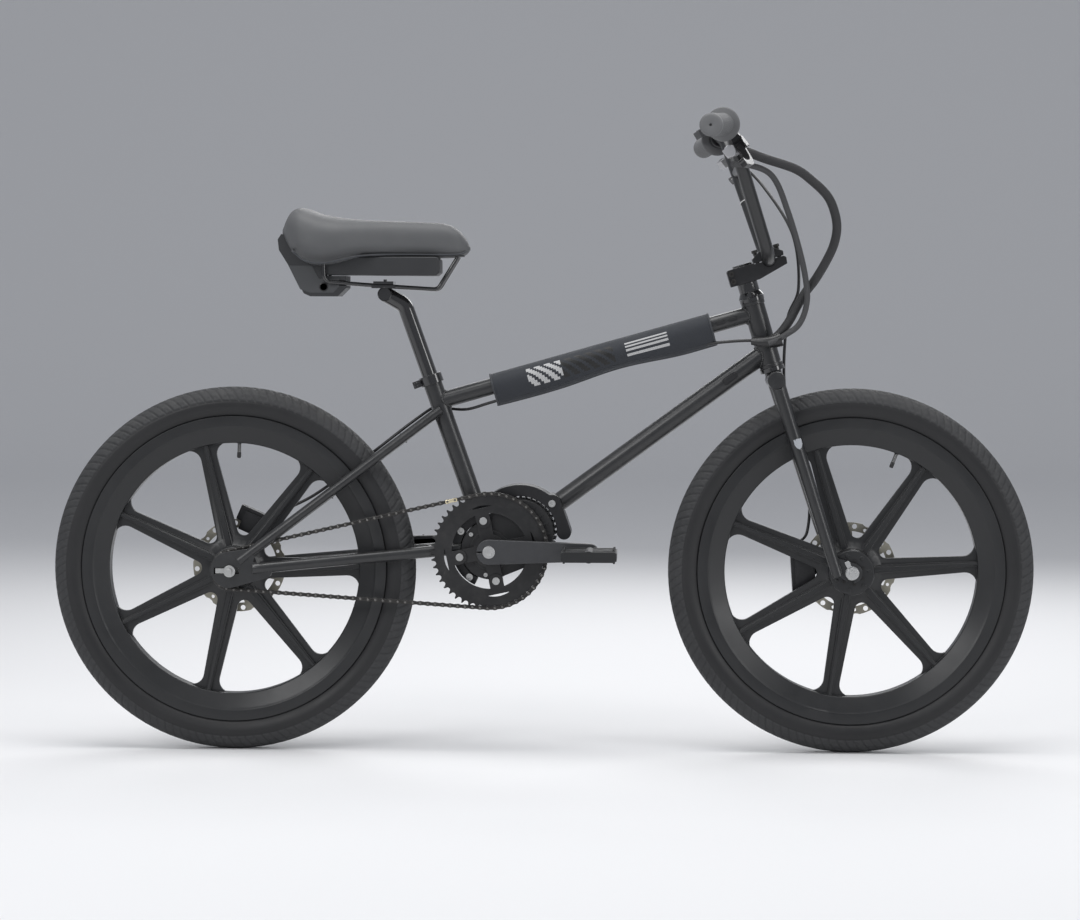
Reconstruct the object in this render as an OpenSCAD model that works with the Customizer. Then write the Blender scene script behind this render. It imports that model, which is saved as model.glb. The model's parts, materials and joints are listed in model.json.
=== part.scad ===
// BMX cruiser with a mid-mounted motor, 24 inch moulded wheels and hydraulic disc brakes.
// +X is forward, +Y is the rider's left, +Z is up. The origin is on the ground, midway between the axles.

/* [Wheels] */
// Distance between the two axles
wheel_base = 1050; // [950:1:1260]
// Outer diameter of the tyres
tyre_d = 620; // [510:1:750]
// Width of the tyres
tyre_w = 58; // [48:0.5:70]
// Height of the tyre above the rim's edge
tyre_h = 49.5; // [40:0.5:60]
// Number of spokes in each moulded wheel
spoke_n = 7; // [5:1:9]
// Width of a spoke's web at the hub
spoke_w_hub = 36; // [30:1:42]
// Width of a spoke's web at the rim
spoke_w_rim = 27; // [22:1:34]
// Thickness of the spoke webs
web_t = 9; // [6:0.5:14]
// Depth of a spoke's rib from front to back
rib_depth = 30; // [22:1:36]
// Radius of the round caps on the hubs
hub_cap_r = 38.5; // [34:0.5:46]
// Diameter of the axles
axle_d = 10; // [9:0.5:12]

/* [Brakes] */
// Diameter of the brake rotors
rotor_d = 160; // [140:1:180]
// Thickness of the brake rotors
rotor_t = 1.8; // [1.5:0.1:2.4]

/* [Frame] */
// Height of the crank axle above the wheel axles
bb_rise = 34.5; // [20:0.5:50]
// Gap between the rear tyre and the crank axle
bb_gap = 130; // [120:1:150]
// Seat tube angle from the horizontal
seat_angle = 70.4; // [68:0.1:74]
// Seat tube length from the crank axle to its top
seat_tube_len = 313; // [280:1:380]
// Seat tube diameter
seat_tube_d = 31.8; // [30:0.1:38]
// Height of the top tube's joint on the seat tube
top_tube_joint = 267; // [240:1:300]
// Top tube diameter
top_tube_d = 28.6; // [25:0.1:32]
// Down tube diameter
down_tube_d = 31.8; // [28:0.1:38]
// Wall of the frame's tubes
tube_wall = 1.6; // [1:0.1:2.4]
// Head tube angle from the horizontal
head_angle = 73.5; // [70:0.1:76]
// Head tube length
head_tube_len = 116; // [95:1:140]
// Head tube diameter
head_tube_d = 37; // [35:0.5:44]
// Chainstay diameter
chainstay_d = 20; // [16:0.5:22]
// Seatstay diameter
seatstay_d = 16; // [13:0.5:19]
// Inside width between the rear dropouts
rear_width = 135; // [130:1:150]
// Thickness of the dropout plates
dropout_t = 6; // [4:0.5:8]

/* [Fork] */
// Distance of the front axle ahead of the steering axis
fork_offset = 32; // [25:1:40]
// Gap between the front tyre and the middle of the fork crown
crown_gap = 39; // [32:1:50]
// Inside width between the fork dropouts
front_width = 100; // [96:1:110]
// Steerer tube diameter
steerer_d = 28.6; // [25.4:0.1:30]
// Fork leg diameter at the crown
leg_d = 25.4; // [22:0.1:30]
// Fork leg diameter at the dropout
leg_end_d = 19; // [16:0.5:22]

/* [Cockpit] */
// Handlebar width
bar_width = 740; // [640:1:880]
// Handlebar height from the clamp to the grips
bar_rise = 215; // [180:1:260]
// Handlebar tube diameter
bar_d = 22.2; // [20:0.1:25.4]
// Distance of the handlebar clamp ahead of the steering axis
stem_reach = 45.5; // [40:0.5:56]
// Height of the spacers under the stem
spacer_h = 25; // [15:1:40]
// Width of the stem
stem_w = 50; // [44:1:60]
// Grip length
grip_len = 130; // [110:1:145]
// Grip diameter
grip_d = 37; // [30:0.5:40]
// Diameter of the flange at the inner end of a grip
flange_d = 56; // [46:0.5:60]

/* [Drive] */
// Chainring teeth
ring_teeth = 48; // [36:2:52]
// Rear sprocket teeth
cog_teeth = 16; // [14:1:20]
// Crank arm length, axle to axle
crank_len = 170; // [160:1:180]
// Radius of the motor's body with its fins
motor_r = 62; // [56:0.5:68]
// Radius of the gear case round the crank axle
gear_case_r = 50; // [44:0.5:54]

/* [Saddle] */
// Seatpost diameter
post_d = 27.2; // [25:0.1:28.6]
// Height of the saddle rails above the top of the seat tube
post_out = 153; // [120:1:190]
// Saddle length
saddle_len = 317; // [280:1:360]
// Saddle width at the back
saddle_w = 175; // [150:1:210]
// Width of the saddle's nose
nose_w = 66; // [55:1:80]

/* [Hidden] */
$fn = 96;
run = 0.05;      // radial clearance of a running fit
gap = 0.4;       // clearance between pieces that move apart
chain_pitch = 12.7;
pad_wrap = 8;    // thickness of the padding above the top tube

// ---- points of the design ----
tyre_r = tyre_d / 2;
rim_r = tyre_r - tyre_h;
rear_axle = [-wheel_base / 2, 0, tyre_r];
front_axle = [wheel_base / 2, 0, tyre_r];

// Chain: the link count that suits the wheel, then the axle distance that this count gives.
function pitch_r(teeth) = chain_pitch / (2 * sin(180 / teeth));
function wrap_a(c) = asin((pitch_r(ring_teeth) - pitch_r(cog_teeth)) / c);
function links_at(c) = (ring_teeth * (180 + 2 * wrap_a(c)) + cog_teeth * (180 - 2 * wrap_a(c))) / 360
  + 2 * c * cos(wrap_a(c)) / chain_pitch;
function centre_for(links, c, n) = n == 0 ? c
  : centre_for(links, c + (links - links_at(c)) * chain_pitch / 2, n - 1);
chain_links = 2 * round(links_at(tyre_r + bb_gap) / 2);
chain_c = centre_for(chain_links, tyre_r + bb_gap, 12);
ring_r = pitch_r(ring_teeth);
cog_r = pitch_r(cog_teeth);
chain_y = -(tyre_w / 2 + 23);
bb = rear_axle + [sqrt(chain_c * chain_c - bb_rise * bb_rise), 0, bb_rise];
chain_tilt = atan2(bb_rise, bb[0] - rear_axle[0]);

// Steering axis: steer_at(s, n) is a point s up the axis and n ahead of it.
up_axis = [-cos(head_angle), 0, sin(head_angle)];
fwd_axis = [sin(head_angle), 0, cos(head_angle)];
steer_foot = front_axle - [fork_offset / sin(head_angle), 0, 0];
function steer_at(s, n) = steer_foot + s * up_axis + n * fwd_axis;
axle_drop = fork_offset / tan(head_angle);
crown_r = 15;
crown_s = sqrt(pow(tyre_r + crown_gap, 2) - fork_offset * fork_offset) - axle_drop;
cup_h = 7;
head_low_s = crown_s + crown_r + gap + cup_h;
head_top_s = head_low_s + head_tube_len;
stem_s = head_top_s + cup_h + spacer_h + 14.5 + 2 * gap;
bar_s = stem_s + 13;
bar_clamp = steer_at(bar_s, stem_reach);

// Seat tube line: seat_at(d) is a point d up the tube from the crank axle.
seat_axis = [-cos(seat_angle), 0, sin(seat_angle)];
function seat_at(d) = bb + d * seat_axis;
seat_back = [-sin(seat_angle), 0, -cos(seat_angle)];

// Top tube and down tube lines
top_rear = seat_at(top_tube_joint);
top_front = steer_at(head_top_s - 20, 0);
top_axis = (top_front - top_rear) / norm(top_front - top_rear);
top_len = norm(top_front - top_rear);
top_up = [-top_axis[2], 0, top_axis[0]];
function top_at(d, h) = top_rear + d * top_axis + h * top_up;
motor_c = bb + [50, 0, 29];
cradle_t = 20;
down_front = steer_at(head_low_s + 28, 0);
down_rear = motor_c + (motor_r + cradle_t / 2) * [cos(38), 0, sin(38)];
down_axis = (down_front - down_rear) / norm(down_front - down_rear);

// Handlebar line: right half, mirrored for the left
bar_half = bar_width / 2;
bar_lean = 77;
bar_back = 0.1754;
bar_down = 0.063;
grip_dir_r = unit([-bar_back, -1, -bar_down]);
bar_corner = bar_clamp + [-bar_lean + 4.8, -(bar_half - 190), bar_rise + 3.8];
function bar_at(y) = bar_corner + (y - (bar_half - 190)) * [-bar_back, -1, -bar_down];
bar_points_r = [bar_clamp, bar_clamp + [0, -62, 0], bar_corner, bar_at(bar_half - 3)];
lever_y = bar_half - 151;

// Saddle: everything on it is placed from the rails' middle over the post clamp
rail_mid = seat_at(seat_tube_len + post_out) + [-26, 0, 8.5];
saddle_k = saddle_len / 317;
function saddle_at(x, z) = [rail_mid[0] + x * saddle_k, 0, rail_mid[2] + z];

// ---- helpers ----
function unit(v) = v / norm(v);
function polar(r, a) = r * [cos(a), sin(a)];
function arc(c, r, a0, a1, n) = [for (i = [0:n]) c + polar(r, a0 + (a1 - a0) * i / n)];
function flip_y(p) = [p[0], -p[1], p[2]];
function curve_at(a, b, c, d, t) = 0.5 * (2 * b + (c - a) * t + (2 * a - 5 * b + 4 * c - d) * t * t
  + (3 * b - a - 3 * c + d) * t * t * t);
function curve(p, k) = [
  for (i = [0:len(p) - 2]) for (j = [0:k - 1])
    curve_at(p[max(i - 1, 0)], p[i], p[i + 1], p[min(i + 2, len(p) - 1)], j / k),
  p[len(p) - 1]
];
function headings(p) = [for (i = [0:len(p) - 1]) unit(p[min(i + 1, len(p) - 1)] - p[max(i - 1, 0)])];
function level(v, t) = unit(v - (v * t) * t);
function normals(t, v) = [
  for (i = 0, u = level(v, t[0]); i < len(t); i = i + 1, u = i < len(t) ? level(u, t[i]) : u) u
];

// Children are drawn in a frame with origin o and axes ex, ey, ez.
module in_frame(o, ex, ey, ez) {
  multmatrix([
    [ex[0], ey[0], ez[0], o[0]],
    [ex[1], ey[1], ez[1], o[1]],
    [ex[2], ey[2], ez[2], o[2]],
    [0, 0, 0, 1]
  ]) children();
}

// A slab of the child shape, drawn with x forward and y up, between two distances to the rider's left
module slab(o, y0, y1) {
  translate([o[0], y1, o[2]]) rotate([90, 0, 0]) linear_extrude(y1 - y0) children();
}

// Children are drawn with +z along the line from a to b.
module along(a, b) {
  d = b - a;
  translate(a) rotate([0, acos(d[2] / norm(d)), atan2(d[1], d[0])]) children();
}

module rod(a, b, r, r_end = -1) {
  along(a, b) cylinder(h = norm(b - a), r1 = r, r2 = r_end < 0 ? r : r_end);
}

module tube(a, b, r, wall) {
  difference() {
    rod(a, b, r);
    rod(a - unit(b - a), b + unit(b - a), r - wall);
  }
}

module y_rod(o, y0, y1, r) {
  translate([o[0], y1, o[2]]) rotate([90, 0, 0]) cylinder(h = y1 - y0, r = r);
}

module both_sides() {
  children();
  mirror([0, 1, 0]) children();
}

module ring_face(r, bore) {
  difference() {
    circle(r);
    if (bore > 0) circle(bore);
  }
}

// Corner points with an arc of the given radius in place of each inner corner, k steps to an arc
function bend_points(p, d1, d2, bend_r, k) = let (
    turn = acos(d1 * d2),
    inward = cross(unit(cross(d1, d2)), d1),
    centre = p - d1 * bend_r * tan(turn / 2) + inward * bend_r
  ) [for (i = [0:k]) centre + bend_r * (d1 * sin(turn * i / k) - inward * cos(turn * i / k))];
function pipe_path(pts, bends, k = 6) = let (last = len(pts) - 1) concat(
  [pts[0]],
  [for (i = [1:last - 1]) let (d1 = unit(pts[i] - pts[i - 1]), d2 = unit(pts[i + 1] - pts[i]))
    each bend_points(pts[i], d1, d2, bends[i - 1], k)],
  [pts[last]]
);
function longer(p, e) = concat(
  [p[0] - e * unit(p[1] - p[0])],
  [for (i = [1:len(p) - 2]) p[i]],
  [p[len(p) - 1] + e * unit(p[len(p) - 1] - p[len(p) - 2])]
);

// Round pipe along a path of points, with n flat sides
module swept(path, r, n) {
  dirs = headings(path);
  ups = normals(dirs, [0.1, 1, 0.2]);
  rings = [for (i = [0:len(path) - 1]) for (j = [0:n - 1])
    path[i] + r * (cos(360 * j / n) * ups[i] + sin(360 * j / n) * cross(dirs[i], ups[i]))];
  count = len(path);
  polyhedron(rings, concat(
    [[for (j = [0:n - 1]) j]],
    [for (i = [0:count - 2]) for (j = [0:n - 1])
      [i * n + j, (i + 1) * n + j, (i + 1) * n + (j + 1) % n, i * n + (j + 1) % n]],
    [[for (j = [n - 1:-1:0]) (count - 1) * n + j]]
  ));
}

// Flexible line of radius r through the points, with n sides and k rings between points
module hose(pts, k, r, n = 8) {
  swept(curve(pts, k), r, n);
}

// Two circles and the straight sides that touch both
module link_shape(a, ra, b, rb) {
  d = norm(b - a);
  dir = atan2(b[1] - a[1], b[0] - a[0]);
  side = acos((ra - rb) / d);
  translate(a) circle(ra);
  translate(b) circle(rb);
  polygon([for (s = [-1, 1]) for (e = [0, 1]) let (turn = dir + s * side, far = s < 0 ? e : 1 - e)
    (far == 1 ? b : a) + (far == 1 ? rb : ra) * [cos(turn), sin(turn)]]);
}

// The same outline as one polygon, for thin shapes
function link_points(a, ra, b, rb, n = 24) = let (
    dir = atan2(b[1] - a[1], b[0] - a[0]),
    side = acos((ra - rb) / norm(b - a))
  ) concat(arc(b, rb, dir - side, dir + side, n), arc(a, ra, dir + side, dir + 360 - side, n));

// Outline of a bent strip along a path of flat points, from half width w0 to half width w1
function strip_points(p, w0, w1) = let (last = len(p) - 1, t = headings(p)) concat(
  [for (i = [0:last]) p[i] + (w0 + (w1 - w0) * i / last) * [-t[i][1], t[i][0]]],
  [for (i = [last:-1:0]) p[i] - (w0 + (w1 - w0) * i / last) * [-t[i][1], t[i][0]]]
);

// Ring between two radii from angle a0 to angle a1
module ring_part(r0, r1, a0, a1) {
  intersection() {
    ring_face(r1, r0);
    polygon(concat([[0, 0]], arc([0, 0], 2 * r1, a0, a1, 6)));
  }
}

module rounded_rect(w, h, r) {
  square([w, h - 2 * r], center = true);
  square([w - 2 * r, h], center = true);
  for (x = [-1, 1]) for (y = [-1, 1])
    translate([x * (w / 2 - r), y * (h / 2 - r)]) circle(r);
}

// ---- frame ----
module head_bore() {
  rod(steer_at(head_low_s - 1, 0), steer_at(head_top_s + 1, 0), steerer_d / 2 + 3.2);
}

module head_solid() {
  rod(steer_at(head_low_s, 0), steer_at(head_top_s, 0), head_tube_d / 2);
}

module seat_solid() {
  rod(seat_at(gear_case_r - 4), seat_at(seat_tube_len), seat_tube_d / 2);
}

module head_tube() {
  color("#17181a") difference() {
    union() {
      head_solid();
      for (s = [head_low_s, head_top_s - 6]) rod(steer_at(s, 0), steer_at(s + 6, 0), head_tube_d / 2 + 1.6);
    }
    head_bore();
  }
}

module top_tube() {
  color("#17181a") difference() {
    tube(top_rear, top_front, top_tube_d / 2, tube_wall);
    seat_solid();
    head_solid();
  }
}

module down_tube() {
  color("#17181a") difference() {
    tube(down_rear - 12 * down_axis, down_front, down_tube_d / 2, tube_wall);
    head_solid();
    rod(steer_at(head_low_s, 0), steer_at(head_low_s + 6, 0), head_tube_d / 2 + 1.6);
    y_rod(motor_c, -60, 60, motor_r + cradle_t - 2);
    cradle_body();
  }
}

module seat_tube() {
  color("#17181a") difference() {
    rod(seat_at(gear_case_r + 8), seat_at(seat_tube_len), seat_tube_d / 2);
    rod(seat_at(gear_case_r), seat_at(seat_tube_len + 1), post_d / 2 + run);
    slab(seat_at(seat_tube_len) + [-20, 0, 0], -1.2, 1.2) rotate(90 - seat_angle)
      translate([0, -20]) square([40, 60], center = true);
    slab(motor_c, -60, 60) circle(motor_r + cradle_t - 2);
  }
}

// Stays run from the dropouts to the crank end (low) and to the seat tube (high).
stay_y = rear_width / 2 + dropout_t / 2;
low_front_y = -chain_y - 6.5 - chainstay_d / 2 - 0.5;
low_rear = rear_axle + [38, stay_y, 3.5];
low_front = [bb[0] - ring_r - 6, low_front_y, bb[2] - 3];
low_end = low_front + (low_front - low_rear) * 0.2;
high_rear = rear_axle + [14, stay_y, 16];
high_front = seat_at(top_tube_joint - 14) + [0, seat_tube_d / 2 + seatstay_d / 2 - 2, 0];
function high_at(t) = high_rear + t * (high_front - high_rear);
function low_at(t) = low_rear + t * (low_front - low_rear);

module stay_pair(a, b, r0, r1, cut_r) {
  both_sides() difference() {
    rod(a, b, r0, r1);
    slab(rear_axle, stay_y - dropout_t / 2 - 0.02, stay_y + dropout_t / 2 + 0.02) dropout_face();
    children();
  }
}

// Room that the motor and its case take up between the stays
module motor_space() {
  slab(bb, cover_y - 3.1, cradle_half + 14.1) {
    translate([50, 29]) circle(motor_r + 0.1);
    circle(gear_case_r + 0.1);
  }
}

module chainstays() {
  color("#17181a") {
    stay_pair(low_rear, low_end, chainstay_d / 2 - 0.8, chainstay_d / 2) {
      cradle_body();
      motor_space();
    }
    difference() {
      y_rod(low_at(0.99), -low_front_y, low_front_y, 7);
      both_sides() rod(low_rear, low_end, chainstay_d / 2 - 0.8, chainstay_d / 2);
    }
  }
}

module seatstays() {
  bridge = high_at(0.82);
  color("#17181a") {
    stay_pair(high_rear, high_front, seatstay_d / 2, seatstay_d / 2) seat_solid();
    difference() {
      y_rod(bridge, -bridge[1], bridge[1], 6);
      both_sides() rod(high_rear, high_front, seatstay_d / 2);
    }
  }
}

slot_h = axle_d + 0.6;
module dropout_face() {
  difference() {
    union() {
      link_shape([-3, 2], 30, [26, 22], 15);
      link_shape([-3, -2], 27, [60, -1], 11);
    }
    translate([-27, -slot_h / 2]) square([42, slot_h]);
  }
}

// The ends of the stays are slotted over the dropout plates.
module rear_dropouts() {
  color("#17181a") both_sides()
    slab(rear_axle, rear_width / 2, rear_width / 2 + dropout_t) dropout_face();
}

cradle_half = 30;
module cradle_face() {
  difference() {
    union() {
      translate([50, 29]) ring_part(motor_r - 4, motor_r + cradle_t, -3, 165);
      ring_part(gear_case_r - 2, gear_case_r + 15, 115, 246);
      link_shape([104.5, 79.4], 15, [125, 30], 12);
    }
    translate([50, 29]) circle(motor_r + 0.8);
    circle(gear_case_r + 0.8);
  }
}

module cradle_body() {
  slab(bb, -cradle_half, cradle_half) cradle_face();
}

cradle_bolts = [[104.5, 79.4], [-35.4, -46], [-50, 32]];
module motor_cradle() {
  color("#1d1e20") difference() {
    cradle_body();
    rod(seat_at(gear_case_r + 8), seat_at(seat_tube_len), seat_tube_d / 2);
    for (p = cradle_bolts) y_rod(bb + [p[0], 0, p[1]], -cradle_half - 1, cradle_half + 1, 3);
  }
}

cover_y = -cradle_half - 10;
module motor_housing() {
  fins = 40;
  color("#1b1c1e") difference() {
    slab(bb, cover_y + 8.5, cradle_half + 8) union() {
      translate([50, 29]) circle(motor_r - 4);
      circle(gear_case_r);
      for (i = [0:fins - 1]) translate([50, 29]) rotate(360 * i / fins)
        translate([motor_r - 6, -1.3]) square([6, 2.6]);
    }
    y_rod(bb, -60, 60, 17);
    slab(bb, -60, 60) translate([50, 29]) circle(18);
  }
}

module gear_case() {
  color("#232427") {
    difference() {
      union() {
        slab(bb, cover_y, cover_y + 8) link_shape([0, 0], gear_case_r - 1, [50, 29], motor_r - 5);
        slab(bb, cover_y - 3, cover_y) circle(34);
      }
      y_rod(bb, -70, 0, 17);
      for (a = [20, 140, 260]) y_rod(bb + [42 * cos(a), 0, 42 * sin(a)], cover_y - 1, cover_y + 9, 2.02);
    }
    difference() {
      slab(bb, cradle_half + 8.5, cradle_half + 14) translate([50, 29]) circle(motor_r - 12);
      y_rod(bb, cradle_half, cradle_half + 20, 11);
    }
  }
}

module hex_bolt(o, y0, y1, r, head_r, head_h) {
  y_rod(o, y0, y1, r);
  difference() {
    y_rod(o, y0 - head_h, y0, head_r);
    slab(o, y0 - head_h - 1, y0 - head_h / 2) circle(head_r * 0.5, $fn = 6);
  }
}

module motor_hardware() {
  color("silver") {
    for (p = cradle_bolts)
      hex_bolt(bb + [p[0], 0, p[1]], -cradle_half - 0.2, cradle_half, 2.9, 6, 5);
    for (a = [20, 140, 260])
      hex_bolt(bb + [42 * cos(a), 0, 42 * sin(a)], cover_y - 0.2, cover_y + 8, 2, 3.6, 2.5);
  }
  color("gray") for (y = [cover_y + 2, cradle_half - 2]) difference() {
    y_rod(bb, y, y + 8, 16.95);
    y_rod(bb, y - 1, y + 9, 9 + run);
  }
}

module headset_cups() {
  color("#121314") for (s = [head_low_s - cup_h, head_top_s]) difference() {
    rod(steer_at(s, 0), steer_at(s + cup_h, 0), head_tube_d / 2 + 2.6);
    rod(steer_at(s - 1, 0), steer_at(s + cup_h + 1, 0), steerer_d / 2 + 6);
  }
  color("silver") for (s = [head_low_s - cup_h, head_top_s]) difference() {
    rod(steer_at(s + 0.4, 0), steer_at(s + cup_h - 0.4, 0), steerer_d / 2 + 5.95);
    rod(steer_at(s - 1, 0), steer_at(s + cup_h + 1, 0), steerer_d / 2 + run);
  }
}

module seat_collar() {
  top = seat_at(seat_tube_len + 1);
  low = seat_at(seat_tube_len - 15);
  color("#101112") difference() {
    union() {
      rod(low, top, seat_tube_d / 2 + 4);
      in_frame(seat_at(seat_tube_len - 7) + 24 * seat_back, -seat_back, [0, 1, 0], seat_axis)
        cube([16, 16, 12], center = true);
    }
    rod(low - seat_axis, seat_at(seat_tube_len), seat_tube_d / 2 + 0.02);
    rod(low, top + seat_axis, post_d / 2 + 0.4);
    in_frame(seat_at(seat_tube_len - 7) + 24 * seat_back, -seat_back, [0, 1, 0], seat_axis)
      cube([24, 2, 20], center = true);
    y_rod(seat_at(seat_tube_len - 7) + 26 * seat_back, -9, 9, 2.5);
  }
  color("silver") hex_bolt(seat_at(seat_tube_len - 7) + 26 * seat_back, -8.2, 8, 2.45, 4.4, 4);
}

rear_nut_y = rear_width / 2 + dropout_t;
module axle_nut(o, y0, height) {
  slab(o, y0, y0 + height) ring_face(10, axle_d / 2 + 0.02);
}

module rear_axle_set() {
  color("silver") {
    y_rod(rear_axle, -rear_nut_y - 14, rear_nut_y + 14, axle_d / 2);
    both_sides() {
      axle_nut(rear_axle, rear_nut_y + 0.02, 9);
      slab(rear_axle, rear_nut_y - 1.2 - dropout_t / 2, rear_nut_y - dropout_t / 2 + 1.2)
        translate([-16.5, 0]) square([17, slot_h - 2], center = true);
    }
  }
}

module front_axle_set() {
  nut_y = front_width / 2 + 5;
  color("silver") {
    y_rod(front_axle, -nut_y - 12, nut_y + 12, axle_d / 2);
    both_sides() {
      axle_nut(front_axle, nut_y + 1.6, 8);
      slab(front_axle, nut_y + 0.02, nut_y + 1.58) difference() {
        union() {
          circle(11.5);
          rotate(117) translate([0, -4]) square([22, 8]);
        }
        circle(axle_d / 2 + 0.02);
      }
    }
  }
}

// ---- brakes ----
rear_rotor_y = rear_width / 2 - 15.3;
front_rotor_y = front_width / 2 - 10.5;
rotor_r = rotor_d / 2;

// A caliper's block straddles the rotor's edge; phi is its angle about the axle.
module caliper(axle, phi, rotor_y) {
  color("#141516") difference() {
    translate(axle) rotate([0, -phi, 0]) translate([rotor_r - 4, rotor_y, 0]) union() {
      cube([34, 36, 52], center = true);
      translate([4, 22, 0]) rotate([90, 0, 0]) cylinder(h = 44, r = 13, center = true);
      translate([10, 0, 0]) cube([26, 24, 74], center = true);
    }
    y_rod(axle, rotor_y - 2.4, rotor_y + 2.4, rotor_r + 3);
    y_rod(axle, rotor_y - 12.2, rotor_y + 12.2, rotor_r - 15.5);
    translate(axle) rotate([0, -phi, 0]) translate([rotor_r - 9, rotor_y + 4.8, 0])
      cube([17, 5.4, 30], center = true);
    translate(axle) rotate([0, -phi, 0]) for (z = [-30, 30])
      translate([rotor_r + 12, rotor_y, z]) rotate([0, 90, 0]) cylinder(h = 40, r = 3, center = true);
    children();
  }
}

// A flat bracket about an axle, from its caliper to the point that carries it
module caliper_bracket(axle, phi, to, end_r, y0, y1) {
  slab(axle, y0, y1) link_shape(polar(rotor_r - 4, phi), 16, [to[0] - axle[0], to[2] - axle[2]], end_r);
}

rear_caliper_phi = 66;
front_caliper_phi = 180 + 4;
module rear_caliper() {
  caliper(rear_axle, rear_caliper_phi, rear_rotor_y) {
    rod(high_rear, high_front, seatstay_d / 2 + gap);
    slab(rear_axle, rear_width / 2 - gap, rear_width / 2 + dropout_t + gap) dropout_face();
  }
  color("#141516") difference() {
    caliper_bracket(rear_axle, rear_caliper_phi, high_at(0.06), 4, rear_width / 2 - 6.5,
      rear_width / 2 - 0.2);
    rod(high_rear, high_front, seatstay_d / 2 + 0.02);
  }
}

module front_caliper() {
  caliper(front_axle, front_caliper_phi, front_rotor_y)
    fork_leg(gap);
  color("#141516") difference() {
    caliper_bracket(front_axle, front_caliper_phi, leg_at(12, 6.8), 5, front_width / 2 + 5.2, leg_y + 2.5);
    fork_leg(0.02);
  }
}

// The sliding pad of each caliper stands between its pocket and the rotor.
module brake_pad(axle, phi, rotor_y) {
  translate(axle) rotate([0, -phi, 0]) translate([rotor_r - 9, rotor_y + 4.3, 0]) {
    color("#8a7a5c") translate([0, -1.35, 0]) cube([13, 2.7, 26], center = true);
    color("silver") translate([0, 0.9, 0]) cube([15, 1.8, 28], center = true);
  }
}

module rear_brake_pad() {
  brake_pad(rear_axle, rear_caliper_phi, rear_rotor_y);
}

module front_brake_pad() {
  brake_pad(front_axle, front_caliper_phi, front_rotor_y);
}

module rotor(axle, y, turn) {
  color("#b9b29c") slab(axle, y - rotor_t / 2, y + rotor_t / 2) rotate(turn) difference() {
    union() {
      ring_face(rotor_r, rotor_r - 15);
      for (i = [0:5]) rotate(60 * i) translate([18, 2]) rotate(28) translate([0, -4.5])
        square([rotor_r - 32, 9]);
      circle(29);
    }
    circle(18);
    for (i = [0:5]) rotate(60 * i) translate([22, 0]) circle(2.6);
    for (i = [0:11]) rotate(30 * i) translate([rotor_r + 11, 0]) circle(13.5);
    for (i = [0:11]) rotate(30 * i + 15) translate([rotor_r - 6.5, 0]) circle(4.2);
    for (i = [0:11]) rotate(30 * i) translate([rotor_r - 9, 0]) circle(2.8);
  }
}

module front_rotor() {
  rotor(front_axle, front_rotor_y, 8);
}

module rear_rotor() {
  rotor(rear_axle, rear_rotor_y, 20);
}

// ---- wheels ----
module turned(axle) {
  translate(axle) rotate([90, 0, 0]) rotate_extrude() children();
}

module tyre(axle) {
  mid = tyre_r - tyre_w / 2;
  color("#1a1a1b") turned(axle) difference() {
    translate([mid, 0]) circle(tyre_w / 2);
    translate([mid, 0]) circle(tyre_w / 2 - 4);
    translate([mid - tyre_w, -tyre_w / 2]) square([rim_seat - mid + tyre_w, tyre_w]);
  }
}

rim_seat = rim_r - 3.5;
rim_half = sqrt(pow(tyre_w / 2, 2) - pow(rim_r - tyre_r + tyre_w / 2, 2)) + 0.4;
rim_in = rim_r - 46.5;
rim_half_points = [
  [rim_in, 14], [rim_in + 2, 16], [rim_r - 22, rim_half - 1], [rim_r - 18, rim_half + 2.6],
  [rim_r, rim_half + 2.6], [rim_r, rim_half], [rim_seat - 0.1, rim_half], [rim_seat - 0.1, 12],
  [rim_seat - 9, 8]
];
function mirrored(p, first, last) = [for (i = [last:-1:first]) [p[i][0], -p[i][1]]];
module rim_face() {
  polygon(concat(rim_half_points, mirrored(rim_half_points, 0, len(rim_half_points) - 1)));
}

// One opening between two spokes, drawn about its own middle line
function opening_points(hub_in) = let (
    half = 180 / spoke_n,
    lean = half + atan((spoke_w_hub - spoke_w_rim) / 2 / (rim_in - 70)),
    far = rim_in + 1,
    edge = 60 * [cos(half), sin(half)] + spoke_w_hub / 2 * [sin(half), -cos(half)],
    dir = [cos(lean), sin(lean)],
    inner = [sin(lean), -cos(lean)],
    fillet = 20,
    base = edge + fillet * inner,
    b = base * dir,
    run_out = -b + sqrt(b * b - base * base + pow(far - fillet, 2)),
    corner = base + run_out * dir,
    phi = atan2(corner[1], corner[0]),
    mid = (hub_in - edge * inner) / (1 - sin(lean)),
    round_r = mid - hub_in,
    upper = concat(arc([mid, 0], round_r, 180, 90 + lean, 5), arc(corner, fillet, 90 + lean, phi, 7),
      arc([0, 0], far, phi, 0, 5))
  ) concat(upper, mirrored(upper, 1, len(upper) - 2));

// A block that narrows from the hub to the rim, both in width and in depth
module taper_block(x0, x1, w0, w1, h0, h1) {
  intersection() {
    linear_extrude(80, center = true) polygon([[x0, w0], [x1, w1], [x1, -w1], [x0, -w0]]);
    rotate([90, 0, 0]) linear_extrude(80, center = true) polygon([[x0, h0], [x1, h1], [x1, -h1], [x0, -h0]]);
  }
}

// A rib stands out from both faces of its web, with a narrower crest along it.
module spoke_rib() {
  depth = rib_depth / 2;
  x0 = hub_cap_r - 4;
  x1 = rim_in + 4;
  taper_block(x0, x1, 7.2, 4.4, depth - 2.6, depth - 4.2);
  taper_block(x0, x1, 4.4, 2.4, depth, depth - 2);
}

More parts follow.
